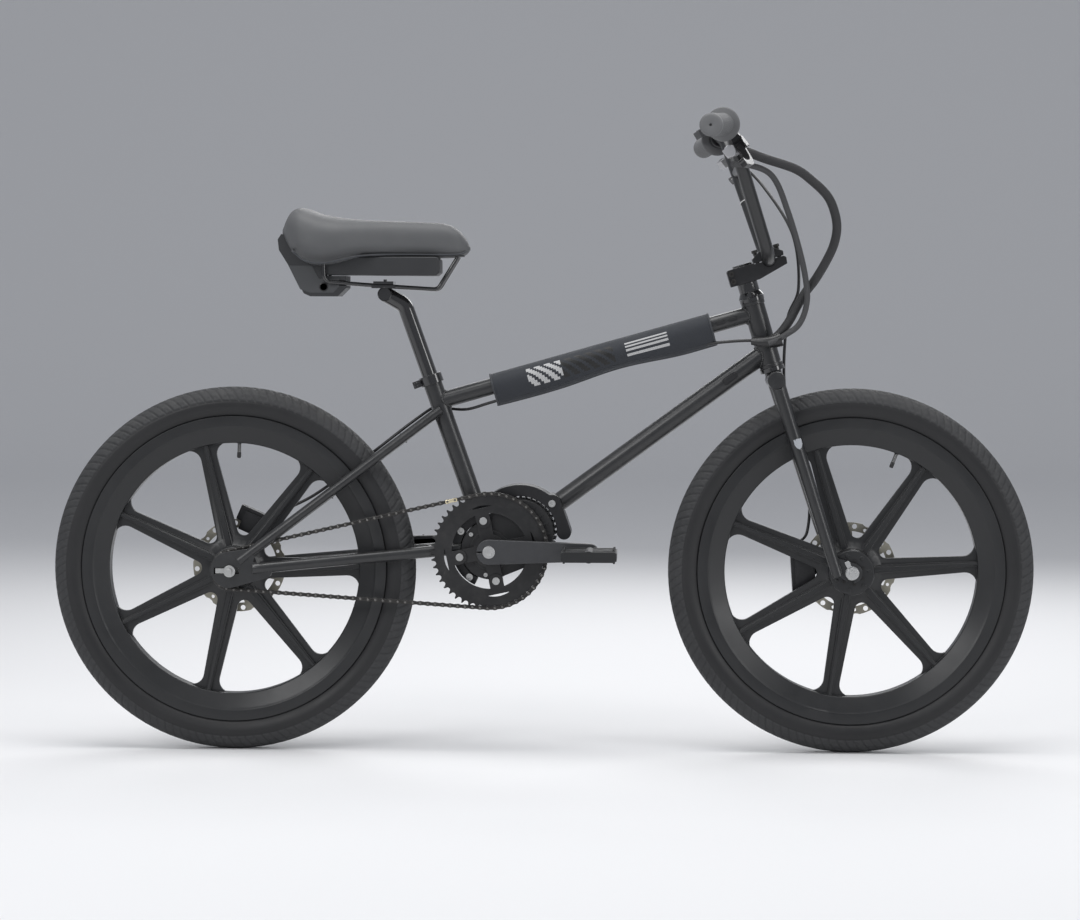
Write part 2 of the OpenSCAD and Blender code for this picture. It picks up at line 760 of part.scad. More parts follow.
bearing_r = 13;
module mag_wheel(axle, phase, valve_a, near_end, far_end) {
  hub_in = 57;
  color("#1c1d1f") translate(axle) rotate([90, 0, 0]) rotate(phase) difference() {
    union() {
      rotate_extrude() rim_face();
      translate([0, 0, -web_t / 2]) linear_extrude(web_t) difference() {
        circle(rim_in + 1.5);
        for (i = [0:spoke_n - 1]) rotate(360 * (i + 0.5) / spoke_n) polygon(opening_points(hub_in));
      }
      for (i = [0:spoke_n - 1]) rotate(360 * i / spoke_n) spoke_rib();
      rotate_extrude() polygon([
        [1, near_end], [hub_cap_r - 2, near_end], [hub_cap_r, near_end - 2], [hub_cap_r, 14], [hub_in - 1, 3],
        [hub_in - 1, -3], [hub_cap_r - 4, -14], [28, -far_end], [1, -far_end]
      ]);
      for (i = [0:spoke_n - 1]) rotate(360 * i / spoke_n) translate([hub_cap_r - 9, 0, near_end - 1])
        cylinder(h = 2.6, r = 3.4);
    }
    translate([0, 0, -far_end - 1]) cylinder(h = far_end + near_end + 2, r = bearing_r);
    rotate(valve_a - phase) translate([rim_in - 4, 0, 0]) rotate([0, 90, 0]) cylinder(h = 60, r = 3.4);
  }
}

front_near = front_width / 2 - 5;
front_far = front_rotor_y - rotor_t / 2;
rear_near = -chain_y - 8;
rear_far = rear_rotor_y - rotor_t / 2;
front_valve_a = 69;
rear_valve_a = 88;
module front_mag_wheel() {
  mag_wheel(front_axle, 3.6, front_valve_a, front_near, front_far);
}

module rear_mag_wheel() {
  mag_wheel(rear_axle, 0.5, rear_valve_a, rear_near, rear_far);
}

module front_tyre() {
  tyre(front_axle);
}

module rear_tyre() {
  tyre(rear_axle);
}

module bearings_valve(axle, valve_a, near_end, far_end) {
  color("silver") for (y = [far_end - 8, -near_end]) difference() {
    y_rod(axle, y, y + 8, bearing_r - 0.02);
    y_rod(axle, y - 1, y + 9, axle_d / 2 + run);
  }
  color("#2a2a2a") translate(axle) rotate([0, -valve_a, 0]) translate([rim_in - 22, 0, 0]) rotate([0, 90, 0])
    cylinder(h = rim_seat - rim_in + 16, r = 3);
}

module front_bearings_valve() {
  bearings_valve(front_axle, front_valve_a, front_near, front_far);
}

module rear_bearings_valve() {
  bearings_valve(rear_axle, rear_valve_a, rear_near, rear_far);
}

// ---- fork and cockpit ----
leg_y = front_width / 2 + 8;
function leg_at(s, n) = steer_at(s, n) + [0, leg_y, 0];
module fork_leg(extra) {
  rod(leg_at(crown_s, 0), leg_at(-8, 7), leg_d / 2 + extra, leg_end_d / 2 + extra);
}

// Drawn about the front axle
module fork_dropout_face() {
  foot = steer_at(14, 7) - front_axle;
  difference() {
    polygon(link_points([0, 0], 17, [foot[0], foot[2]], 11));
    rotate(-100) translate([-axle_d / 2 - 0.05, -axle_d / 2 - 0.05]) square([36, axle_d + 0.1]);
  }
}

module fork_legs() {
  color("#17181a") both_sides() {
    difference() {
      fork_leg(0);
      rod(leg_at(crown_s + 1, 0), leg_at(30, 6.1), leg_d / 2 - 2, leg_end_d / 2 - 2);
      y_rod(steer_at(crown_s, 0), 0, leg_y + leg_d, crown_r);
    }
    slab(front_axle, front_width / 2, front_width / 2 + 5) fork_dropout_face();
  }
}

module fork_crown() {
  color("#17181a") difference() {
    union() {
      y_rod(steer_at(crown_s, 0), -leg_y - 9, leg_y + 9, crown_r);
      rod(steer_at(crown_s, 0), steer_at(stem_s + 13, 0), steerer_d / 2);
    }
    rod(steer_at(crown_s + 8, 0), steer_at(stem_s + 14, 0), steerer_d / 2 - 2.6);
  }
}

module steer_slab(s, y0, y1) {
  in_frame(steer_at(s, 0) + [0, y1, 0], fwd_axis, up_axis, [0, -1, 0]) linear_extrude(y1 - y0) children();
}

module headset_spacers() {
  low = head_top_s + cup_h + gap;
  color("#101112") difference() {
    union() {
      rod(steer_at(low, 0), steer_at(low + 9, 0), steerer_d / 2 + 8, steerer_d / 2 + 3.4);
      rod(steer_at(low + 9, 0), steer_at(stem_s - 14.5, 0), steerer_d / 2 + 3);
    }
    rod(steer_at(low - 1, 0), steer_at(stem_s, 0), steerer_d / 2 + 0.02);
  }
  color("#101112") rod(steer_at(stem_s + 14.5, 0), steer_at(stem_s + 18, 0), steerer_d / 2 + 2.5);
}

bar_r = bar_d / 2;
stem_bolts = [[-19, -17], [-19, 17], [19, -17], [19, 17]];
module stem() {
  color("#141517") difference() {
    steer_slab(stem_s, -stem_w / 2, stem_w / 2) difference() {
      polygon([
        [-28.6, -14.5], [-28.6, 12], [-26, 14.5], [stem_reach - 28, 14.5], [stem_reach - 25, 12.4],
        [stem_reach + 26, 12.4], [stem_reach + 29.5, 9], [stem_reach + 28, -2], [22, -14.5]
      ]);
      translate([stem_reach, 13]) circle(bar_r + 0.02);
    }
    rod(steer_at(stem_s - 20, 0), steer_at(stem_s + 20, 0), steerer_d / 2 + 0.02);
    steer_slab(stem_s, -1, 1) translate([-40, -20]) square([30, 40]);
    for (b = stem_bolts) rod(steer_at(stem_s - 1, stem_reach + b[0]) + [0, b[1], 0],
      steer_at(stem_s + 20, stem_reach + b[0]) + [0, b[1], 0], 3);
    for (h = [-6.5, 6.5]) y_rod(steer_at(stem_s + h, -22), -stem_w, stem_w, 3);
  }
}

module stem_cap() {
  color("#141517") difference() {
    steer_slab(stem_s, -stem_w / 2, stem_w / 2) difference() {
      polygon([
        [stem_reach - 26, 13.6], [stem_reach + 26, 13.6], [stem_reach + 27, 21], [stem_reach + 13, 30],
        [stem_reach - 13, 30], [stem_reach - 27, 21]
      ]);
      translate([stem_reach, 13]) circle(bar_r + 0.02);
    }
    for (b = stem_bolts) rod(steer_at(stem_s + 10, stem_reach + b[0]) + [0, b[1], 0],
      steer_at(stem_s + 40, stem_reach + b[0]) + [0, b[1], 0], 3);
  }
}

module cockpit_bolts() {
  color("#303236") {
    for (b = stem_bolts) {
      foot = steer_at(stem_s, stem_reach + b[0]) + [0, b[1], 0];
      rod(foot, foot + 24 * up_axis, 2.9);
      difference() {
        rod(foot + 30.2 * up_axis, foot + 35 * up_axis, 4.6);
        along(foot + 32 * up_axis, foot + 36 * up_axis) cylinder(h = 5, r = 2.4, $fn = 6);
      }
      rod(foot + 24 * up_axis, foot + 31 * up_axis, 2.9);
    }
    for (h = [-6.5, 6.5]) hex_bolt(steer_at(stem_s + h, -22), -stem_w / 2 - 0.2, stem_w / 2 - 1, 2.9, 4.6, 4);
  }
}

bar_path_r = pipe_path(bar_points_r, [60, 50]);
bar_last = len(bar_path_r) - 1;
bar_path = concat(
  [for (i = [bar_last:-1:1]) bar_path_r[i]],
  [for (i = [1:bar_last]) flip_y(bar_path_r[i])]
);
module handlebar() {
  cross_at = bar_points_r[1] + 0.7 * (bar_points_r[2] - bar_points_r[1]);
  color("#17181a") {
    difference() {
      swept(bar_path, bar_r, 24);
      swept(longer(bar_path, 1), bar_r - 2, 12);
    }
    difference() {
      y_rod(cross_at, cross_at[1], -cross_at[1], 8);
      y_rod(cross_at, cross_at[1] - 1, 1 - cross_at[1], 6.5);
      both_sides() rod(bar_points_r[1], bar_points_r[2], bar_r - 0.4);
    }
  }
}

module grips() {
  inner = bar_half - grip_len;
  color("#77787a") both_sides() difference() {
    union() {
      rod(bar_at(inner), bar_at(bar_half), grip_d / 2);
      rod(bar_at(inner), bar_at(inner + 6), flange_d / 2);
    }
    rod(bar_at(inner - 1), bar_at(bar_half - 2.9), bar_r + 0.02);
    rod(bar_at(bar_half - 4), bar_at(bar_half + 1), 2);
  }
}

// Lever frame: x out along the grip, y towards the lever blade, z across them
lever_fwd = level([0.62, 0, -0.78], grip_dir_r);
module lever_frame() {
  in_frame(bar_at(lever_y), grip_dir_r, lever_fwd, cross(grip_dir_r, lever_fwd)) children();
}

pivot = [16, 46];
module lever_clamp() {
  color("#151617") difference() {
    union() {
      rotate([0, 90, 0]) cylinder(h = 12, r = bar_r + 4.5, center = true);
      translate([-8, 8, -8]) cube([16, 26, 16]);
      translate([-16, 30, -9]) cube([22, 20, 18]);
      for (z = [-9, 5.4]) translate([0, 0, z]) linear_extrude(3.6) link_shape([0, 40], 9, pivot, 6.5);
    }
    rotate([0, 90, 0]) cylinder(h = 40, r = bar_r + 0.02, center = true);
    translate([pivot[0], pivot[1], -12]) cylinder(h = 24, r = 2.5);
    translate([-30, 30, -19 - 3.4]) rotate([0, 90, 0]) cylinder(h = 50, r = 10.1);
  }
  color("silver") {
    translate([-32, 40, -19.2]) rotate([0, 90, 0]) cylinder(h = 46, r = 10);
    translate([pivot[0], pivot[1], -9.2]) cylinder(h = 18.4, r = 2.48);
    translate([-32, 31, -31]) cube([34, 16, 8]);
  }
}

module lever_clamps() {
  both_sides() lever_frame() lever_clamp();
}

// Blade of the lever, with a round boss at the pivot and a ball at the tip
function lever_outline() = let (
    spine = curve([pivot, [34, 69], [62, 79], [90, 80], [114, 77]], 4),
    sides = strip_points(spine, 6, 4.2),
    turn = atan2(23, 18),
    count = len(spine)
  ) concat(
    [for (i = [2:count - 1]) sides[i]],
    arc([119, 77], 7, 140, -140, 14),
    [for (i = [count:2 * count - 3]) sides[i]],
    arc(pivot, 7.6, turn - 60, turn - 300, 16)
  );
module lever() {
  color("#1b1c1e") lever_frame() translate([0, 0, -4.8]) linear_extrude(9.6) difference() {
    polygon(lever_outline());
    translate(pivot) circle(2.48 + run);
  }
}

module brake_lever_right() {
  lever();
}

module brake_lever_left() {
  mirror([0, 1, 0]) lever();
}

// The display is a small box behind the left end of the bar, with two buttons on its face.
grip_dir_l = flip_y(grip_dir_r);
face_fwd = level([0.86, 0, 0.5], grip_dir_l);
face_up = cross(face_fwd, grip_dir_l);
display_c = flip_y(bar_at(bar_half - 160)) - 16 * face_fwd + 24 * face_up;
button_r = 4;
module display_frame() {
  in_frame(display_c, grip_dir_l, -face_fwd, face_up) children();
}

module display_unit() {
  ring_c = flip_y(bar_at(bar_half - 137));
  color("#141516") difference() {
    union() {
      display_frame() translate([0, 0, -6.5]) linear_extrude(13) rounded_rect(54, 36, 5);
      rod(ring_c - 4 * grip_dir_l, ring_c + 4 * grip_dir_l, bar_r + 4);
      in_frame(ring_c, grip_dir_l, -face_fwd, face_up) translate([-4, -4, 8]) cube([8, 14, 10]);
    }
    rod(ring_c - 6 * grip_dir_l, ring_c + 6 * grip_dir_l, bar_r + 0.02);
    display_frame() for (y = [-8, 8]) translate([19, y, 2]) cylinder(h = 6, r = button_r + run);
  }
}

module display_button(y) {
  color("#3a3c40") display_frame() translate([19, y, 3.2]) cylinder(h = 4.6, r = button_r);
}

module display_button_up() {
  display_button(-8);
}

module display_button_down() {
  display_button(8);
}

// ---- hoses and looms; each point is chosen for its place on the route ----
sleeve_at = steer_at(head_low_s + 46, 0) + [4, -head_tube_d / 2 - 13, 0];
function from_sleeve(p) = sleeve_at + p;
loom_top = bar_at(lever_y) - 36 * grip_dir_r + 40 * lever_fwd - 19 * cross(grip_dir_r, lever_fwd);
function from_bar(p) = loom_top + p;
loom_points = [
  from_bar([9, 3, 2]), from_bar([22, 8, -2]), from_bar([50, 19, -12]), from_bar([101, 40, -28]),
  from_bar([130, 57, -47]), from_bar([156, 75, -71]), from_bar([169, 91, -97]), from_bar([174, 105, -124]),
  from_sleeve([109, -34, 161]), from_sleeve([96, -24, 132]), from_sleeve([79, -16, 103]),
  from_sleeve([64, -11, 83]), from_sleeve([50, -7, 59]), from_sleeve([38, -4, 36]), from_sleeve([24, -2, 16]),
  from_sleeve([11, -1, 4]), from_sleeve([2, 0, 0])
];
thin_points = [
  from_bar([-4, 3, -22]), from_bar([25, 18, -23]), from_bar([55, 33, -33]), from_bar([73, 49, -54]),
  from_bar([90, 71, -95]), from_bar([104, 91, -135]), from_sleeve([57, -42, 132]), from_sleeve([64, -30, 97]),
  from_sleeve([66, -23, 71]), from_sleeve([61, -18, 45]), from_sleeve([50, -15.5, 25]), from_sleeve([32, -14, 12]),
  from_sleeve([17, -13.5, 3]), from_sleeve([2, -13.2, -4])
];
module cable_looms() {
  color("#2c2d30") {
    hose(loom_points, 2, 7.8, 10);
    hose(thin_points, 2, 5.2, 8);
  }
}

function beside_leg(s, x, y) = steer_at(s, x) + [0, leg_y + y, 0];
front_hose_points = [
  flip_y(loom_top), flip_y(loom_top) + [20, -8, -6], steer_at(bar_s + 120, 78) + [0, 106, 0],
  steer_at(bar_s + 30, 100) + [0, 66, 0], steer_at(bar_s - 60, 84) + [0, 58, 0],
  steer_at(crown_s + 90, 50) + [0, 64, 0], beside_leg(crown_s - 10, 16, 16), beside_leg(240, 8, 16),
  beside_leg(130, 2, 14), beside_leg(70, -18, 8), beside_leg(58, -38, -9)
];
module front_brake_hose() {
  color("#202124") hose(front_hose_points, 4, 2.6);
}

stay_up = unit([-(high_front - high_rear)[2], 0, (high_front - high_rear)[0]]);
function over_stay(t, h, y) = high_at(t) + h * stay_up + [0, y, 0];
rear_hose_points = [
  sleeve_at + [-4, -3, 0], sleeve_at + [-40, 4, 1], top_at(top_len - 92, -29) + [0, -8, 0],
  top_at(top_len - 150, -26), top_at(top_len - 300, -25), top_at(130, -25), top_at(80, -26) + [0, 4, 0],
  top_at(40, -26) + [0, 16, 0], top_rear + [6, 32, -12], high_front + [-12, 18, 4], over_stay(0.86, 13, 5),
  over_stay(0.6, 12, 1), over_stay(0.38, 14, 0), over_stay(0.26, 22, -4), over_stay(0.16, 26, -8)
];
module rear_brake_hose() {
  color("#202124") hose(rear_hose_points, 4, 2.6);
}

// ---- padding on the top tube ----
pad_start = 94;
pad_end = top_len - 77;
pad_drop = 36;
module top_tube_pad() {
  pad_r = top_tube_d / 2 + pad_wrap;
  color("#34383f") in_frame(top_at(pad_start, 0), [0, 1, 0], top_up, top_axis)
    linear_extrude(pad_end - pad_start) difference() {
      polygon(concat(arc([0, 0], pad_r, -20, 200, 28), [[-6, -pad_drop], [6, -pad_drop]]));
      circle(top_tube_d / 2 + 0.3);
    }
}

// ---- drive ----
function seat_points(pr, a) = [for (b = [60, 30, 0, -30, -60]) polar(pr, a) + polar(4.1, a + 180 + b)];
function sprocket_points(teeth) = let (pr = pitch_r(teeth), step = 360 / teeth)
  [for (i = [0:teeth - 1]) each concat(
    [for (p = [4:-1:0]) seat_points(pr, i * step)[4 - p]],
    [for (s = [-1, 1]) polar(pr + 2.8, (i + 0.5) * step + s * 55 / pr)]
  )];
tangent_a = 90 + chain_tilt + wrap_a(chain_c);
run_links = chain_c * cos(wrap_a(chain_c)) / chain_pitch;
cog_phase = tangent_a + (ceil(run_links) - run_links) * 360 / cog_teeth;

module freewheel_cog() {
  color("#4a4b4e") difference() {
    union() {
      slab(rear_axle, chain_y - 1.4, chain_y + 1.4) rotate(cog_phase) polygon(sprocket_points(cog_teeth));
      slab(rear_axle, chain_y - 6, chain_y + 6) circle(cog_r - 8);
    }
    y_rod(rear_axle, chain_y - 7, chain_y + 7, bearing_r + 4 + run);
  }
}

spider_a = 12;
bolt_circle = 52;
module ring_tabs() {
  for (i = [0:3]) rotate(spider_a + 90 * i) {
    translate([bolt_circle, 0]) circle(12);
    translate([bolt_circle, -12]) square([20, 24]);
  }
}

module chainring() {
  color("#1d1e20") slab(bb, chain_y - 1.6, chain_y + 1.6) difference() {
    union() {
      difference() {
        rotate(tangent_a) polygon(sprocket_points(ring_teeth));
        circle(ring_r - 33);
      }
      ring_tabs();
    }
    for (i = [0:3]) rotate(spider_a + 90 * i) {
      translate([bolt_circle, 0]) circle(5);
      translate([ring_r - 23 - 42, 0]) intersection() {
        translate([0, 0]) circle(46);
        translate([54, 0]) square([24, 40], center = true);
        translate([84, 0]) circle(46);
      }
    }
  }
  color("#191a1c") slab(bb, chain_y + 1.62, chain_y + 6.4) difference() {
    union() {
      circle(28);
      for (i = [0:3]) rotate(spider_a + 90 * i) {
        translate([20, -12]) square([bolt_circle - 20, 24]);
        translate([bolt_circle, 0]) circle(12);
      }
    }
    circle(9);
    for (i = [0:3]) rotate(spider_a + 90 * i) translate([bolt_circle, 0]) circle(4);
  }
}

arm_in = -chain_y + 18;
arm_t = 14;
module crank_arm(dir, boss_in) {
  difference() {
    union() {
      slab(bb, arm_in, arm_in + arm_t) link_shape([0, 0], 21, [dir * crank_len, 0], 15);
      y_rod(bb, boss_in, arm_in, 19);
    }
    y_rod(bb, 0, 200, 9);
    y_rod(bb + [dir * crank_len, 0, 0], 0, 200, 6);
    slab(bb, 0, 200) translate([dir > 0 ? -24 : 8, -1]) square([16, 2]);
  }
}

module crank_arms() {
  color("#1b1c1e") {
    mirror([0, 1, 0]) crank_arm(1, -chain_y + 1.62);
    crank_arm(-1, cradle_half + 14.6);
  }
}

module crank_spindle() {
  end_y = arm_in + arm_t;
  color("silver") {
    y_rod(bb, -end_y + 2, end_y - 2, 9 - 0.02);
    both_sides() hex_bolt(bb, -end_y - 0.5, -end_y + 2, 8.9, 10.5, 1.5);
    for (i = [0:3]) translate(bb) rotate([0, -spider_a - 90 * i, 0]) {
      y_rod([bolt_circle, 0, 0], chain_y - 3.6, chain_y + 7, 3.98);
      y_rod([bolt_circle, 0, 0], chain_y - 4.2, chain_y - 1.62, 6.4);
    }
  }
}

pedal_in = arm_in + arm_t + 3;
pedal_w = 98;
function pedal_c(side) = bb + [-side * crank_len, side * (pedal_in + pedal_w / 2), 0];
module pedal_axles() {
  color("silver") for (side = [-1, 1]) {
    c = pedal_c(side);
    y_rod(c, min(side * (arm_in + 1), side * (pedal_in + pedal_w - 8)),
      max(side * (arm_in + 1), side * (pedal_in + pedal_w - 8)), 5.5);
    y_rod(c, min(side * (pedal_in - 2.6), side * (pedal_in - 0.4)),
      max(side * (pedal_in - 2.6), side * (pedal_in - 0.4)), 8);
  }
}

module pedal(side) {
  c = pedal_c(side);
  in_y = side * pedal_in;
  lo = min(in_y, in_y + side * pedal_w);
  color("#1a1b1c") difference() {
    union() {
      y_rod(c, lo, lo + pedal_w, 10);
      for (y = [lo, lo + 30, lo + pedal_w - 40, lo + pedal_w - 10]) slab(c, y, y + 10)
        polygon([[-46, -5], [-42, -9], [42, -9], [46, -5], [46, 5], [42, 9], [-42, 9], [-46, 5]]);
      for (x = [-46, 37]) translate([c[0] + x, lo, c[2] - 7]) cube([9, pedal_w, 14]);
      for (x = [-41.5, 41.5]) for (y = [12 : 18.5 : 88]) translate([c[0] + x, lo + y, c[2] - 11.5])
        cylinder(h = 23, r = 1.8);
    }
    y_rod(c, side > 0 ? lo - 1 : lo + 6, side > 0 ? lo + pedal_w - 6 : lo + pedal_w + 1, 5.5 + run);
  }
}

module pedal_right() {
  pedal(-1);
}

module pedal_left() {
  pedal(1);
}

// Side plates of the chain run round both sprockets; pins cross them on the straight runs.
module chain_face() {
  far = bb - rear_axle;
  difference() {
    polygon(link_points([0, 0], cog_r + 4.4, [far[0], far[2]], ring_r + 4.4));
    polygon(link_points([0, 0], cog_r - 4.4, [far[0], far[2]], ring_r - 4.4));
  }
}

module chain() {
  color("#1a1a1a") {
    for (y = [-3.3, 2.1]) slab(rear_axle, chain_y + y, chain_y + y + 1.2) chain_face();
    for (side = [-1, 1]) for (i = [4 : 6 : floor(run_links) - 2]) {
      a = chain_tilt + side * (90 + wrap_a(chain_c));
      along_a = chain_tilt + side * wrap_a(chain_c);
      y_rod(bb + [ring_r * cos(a) - i * chain_pitch * cos(along_a), 0,
        ring_r * sin(a) - i * chain_pitch * sin(along_a)], chain_y - 3.2, chain_y + 3.2, 3.8);
    }
  }
}

// ---- saddle ----
rail_y = 22;
post_r = post_d / 2;
module seatpost() {
  knee = seat_at(seat_tube_len + post_out - 26);
  head = rail_mid + [1, 0, -14];
  low = seat_at(seat_tube_len - 140);
  bend = pipe_path([knee - 40 * seat_axis, knee, head], [24]);
  color("#0d0e0f") difference() {
    union() {
      rod(low, knee - 30 * seat_axis, post_r);
      swept(bend, post_r - 0.04, 32);
      y_rod(head, -15, 15, 12);
    }
    rod(low - seat_axis, knee - 20 * seat_axis, post_r - 2.4);
    rod(head - [0, 0, 20], head + [0, 0, 20], 3.2);
  }
}

module saddle_clamp() {
  color("#0f1011") difference() {
    union() {
      translate(rail_mid + [0, 0, -1.5]) difference() {
        cube([40, 58, 5], center = true);
        translate([0, 0, 2.6]) cube([60, 100, 0.2], center = true);
      }
      translate(rail_mid + [0, 0, 5]) cube([34, 58, 5], center = true);
    }
    both_sides() rod(saddle_at(-40, 2.1) + [0, rail_y, 0], saddle_at(60, -4.2) + [0, rail_y, 0], 3.6);
    y_rod(rail_mid + [1, 0, -14], -40, 40, 12.02);
    rod(seat_at(seat_tube_len + post_out - 26), rail_mid + [1, 0, -14], post_r + 0.05);
    rod(rail_mid + [1, 0, -30], rail_mid + [1, 0, 12], 3.1);
  }
  color("silver") rod(rail_mid + [1, 0, -26], rail_mid + [1, 0, 11], 3);
}

rail_points = [
  [-100, 52, 49.3], [-98, 52, 7], [-62, 37, 4], [-30, rail_y, 1.6], [92, rail_y, -6], [126, 16, 49.3]
];
rail_path = pipe_path([for (p = rail_points) saddle_at(p[0], p[2]) + [0, p[1], 0]], [12, 20, 30, 12], 5);
module saddle_rails() {
  color("#0c0d0e") difference() {
    both_sides() swept(rail_path, 3.5, 12);
    translate(rail_mid + [-200, -100, 49.6]) cube([400, 200, 10]);
  }
}

// Half widths of the saddle along its length, from the back to the nose
function plan_half() = [
  [-171, saddle_w * 0.25], [-150, saddle_w * 0.43], [-115, saddle_w * 0.5], [-75, saddle_w * 0.48],
  [-40, saddle_w * 0.38], [0, nose_w * 0.7], [50, nose_w * 0.56], [100, nose_w * 0.5], [130, nose_w * 0.4],
  [146, nose_w * 0.16]
];
module saddle_plan(inset) {
  half = plan_half();
  polygon(concat([for (p = half) [p[0] * saddle_k, p[1] - inset]],
    [for (i = [len(half) - 1:-1:0]) [half[i][0] * saddle_k, inset - half[i][1]]]));
}

module saddle_side(y0, y1) {
  translate([rail_mid[0], y1, rail_mid[2]]) rotate([90, 0, 0]) linear_extrude(y1 - y0) children();
}

module saddle_cushion() {
  k = saddle_k;
  color("#6b6d70") difference() {
    intersection() {
      saddle_side(-120, 120) polygon([for (p = [
        [-171, 92], [-165, 112], [-155, 128], [-143, 133], [-128, 131], [-100, 122], [-66, 117], [-29, 114],
        [96, 108], [115, 103], [133, 88], [143, 72], [146, 62], [140, 55], [130, 53], [0, 53], [-40, 48],
        [-75, 38], [-101, 33], [-130, 38], [-155, 58], [-168, 78]
      ]) [p[0] * k, p[1]]]);
      translate(rail_mid) linear_extrude(200) saddle_plan(0);
    }
    saddle_side(-58, 58) translate([-114 * k, 0]) square([218 * k, 53]);
    saddle_side(-44, 44) polygon([for (p = [
      [-190, 95], [-172, 90.5], [-148, 87], [-108, 54], [-108, 10], [-190, 10]
    ]) [p[0] * k, p[1]]]);
  }
}

module saddle_base() {
  color("#141516") difference() {
    translate(rail_mid + [0, 0, 49.6]) linear_extrude(3) intersection() {
      saddle_plan(7);
      translate([-104 * saddle_k, -55]) square([240 * saddle_k, 110]);
    }
  }
}

module battery_case() {
  k = saddle_k;
  color("#26282b") saddle_side(-45, 45) polygon([for (p = [
    [-100, 49], [92, 49], [96, 44], [96, 22], [90, 17], [60, 17], [-94, 18], [-100, 24]
  ]) [p[0] * k, p[1]]]);
}

module tail_housing() {
  k = saddle_k;
  color("#1d1f22") difference() {
    saddle_side(-40, 40) polygon([for (p = [
      [-178, 78], [-176, 60], [-151, 20], [-134, -13], [-123, -18], [-76, -18], [-62, -4], [-62, 16.5],
      [-101, 16.5], [-104, 48], [-146, 82], [-172, 87]
    ]) [p[0] * k, p[1]]]);
    both_sides() rod(rail_mid + [-98, 52, 7], rail_mid + [-52, 32.8, 3.2], 4.6);
  }
}

head_tube();
top_tube();
down_tube();
seat_tube();
chainstays();
seatstays();
rear_dropouts();
motor_cradle();
motor_housing();
gear_case();
motor_hardware();
headset_cups();
seat_collar();
rear_axle_set();
rear_caliper();
rear_brake_hose();
top_tube_pad();
chain();
seatpost();
saddle_clamp();
saddle_rails();
saddle_cushion();
saddle_base();
battery_case();
tail_housing();
fork_crown();
fork_legs();
stem();
stem_cap();
cockpit_bolts();
headset_spacers();
handlebar();
grips();
lever_clamps();
display_unit();
front_axle_set();
front_caliper();
front_brake_hose();
cable_looms();
brake_lever_right();
brake_lever_left();
display_button_up();
display_button_down();
front_tyre();
front_mag_wheel();
front_rotor();
front_bearings_valve();
rear_tyre();
rear_mag_wheel();
rear_rotor();
rear_bearings_valve();
freewheel_cog();
chainring();
crank_arms();
crank_spindle();
pedal_axles();
pedal_right();
pedal_left();
front_brake_pad();
rear_brake_pad();
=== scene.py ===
"""Looks of a cruiser BMX bike with a mid-mounted motor.

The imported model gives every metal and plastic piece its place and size. This
script softens the edges of those pieces, builds the detailed ones anew
(tyres, chain, saddle, padding, looms, hoses, grips) and dresses them all.
X is forward, Y is to the rider's left and Z is up, in metres.
"""

from __future__ import annotations

import json
import logging
import math
from dataclasses import dataclass, field
from enum import Enum
from typing import Any, Callable, Iterable, Sequence

import bmesh
import bpy
from mathutils import Matrix, Vector, noise

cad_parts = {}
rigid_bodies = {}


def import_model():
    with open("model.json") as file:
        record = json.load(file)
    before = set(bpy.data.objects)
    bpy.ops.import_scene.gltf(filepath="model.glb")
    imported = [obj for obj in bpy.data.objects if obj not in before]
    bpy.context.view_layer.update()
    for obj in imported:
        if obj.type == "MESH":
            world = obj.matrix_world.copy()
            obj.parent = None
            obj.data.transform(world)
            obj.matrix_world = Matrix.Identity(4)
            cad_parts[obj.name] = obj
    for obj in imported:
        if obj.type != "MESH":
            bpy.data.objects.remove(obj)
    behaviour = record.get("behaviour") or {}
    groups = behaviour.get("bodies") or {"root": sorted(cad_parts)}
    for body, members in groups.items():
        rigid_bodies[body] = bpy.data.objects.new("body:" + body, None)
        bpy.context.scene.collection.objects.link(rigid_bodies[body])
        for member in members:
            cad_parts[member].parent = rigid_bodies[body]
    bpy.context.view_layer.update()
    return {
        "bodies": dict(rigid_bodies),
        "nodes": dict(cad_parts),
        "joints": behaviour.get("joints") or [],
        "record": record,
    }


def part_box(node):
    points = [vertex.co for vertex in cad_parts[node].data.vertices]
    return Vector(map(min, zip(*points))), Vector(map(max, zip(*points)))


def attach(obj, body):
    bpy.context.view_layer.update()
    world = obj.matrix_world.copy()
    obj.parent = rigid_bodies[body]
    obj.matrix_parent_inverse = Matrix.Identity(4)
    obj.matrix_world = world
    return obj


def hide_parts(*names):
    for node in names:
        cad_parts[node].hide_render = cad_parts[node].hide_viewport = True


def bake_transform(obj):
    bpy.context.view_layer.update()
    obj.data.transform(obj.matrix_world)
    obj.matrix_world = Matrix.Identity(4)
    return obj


LOG = logging.getLogger("bmx_bike")
MM = 0.001
Colour = tuple[float, float, float]
Point2 = tuple[float, float]


# ---------------------------------------------------------------- layout


def mm(x: float, y: float, z: float) -> Vector:
    """Returns a point given in millimetres as a vector in metres."""
    return Vector((x, y, z)) * MM


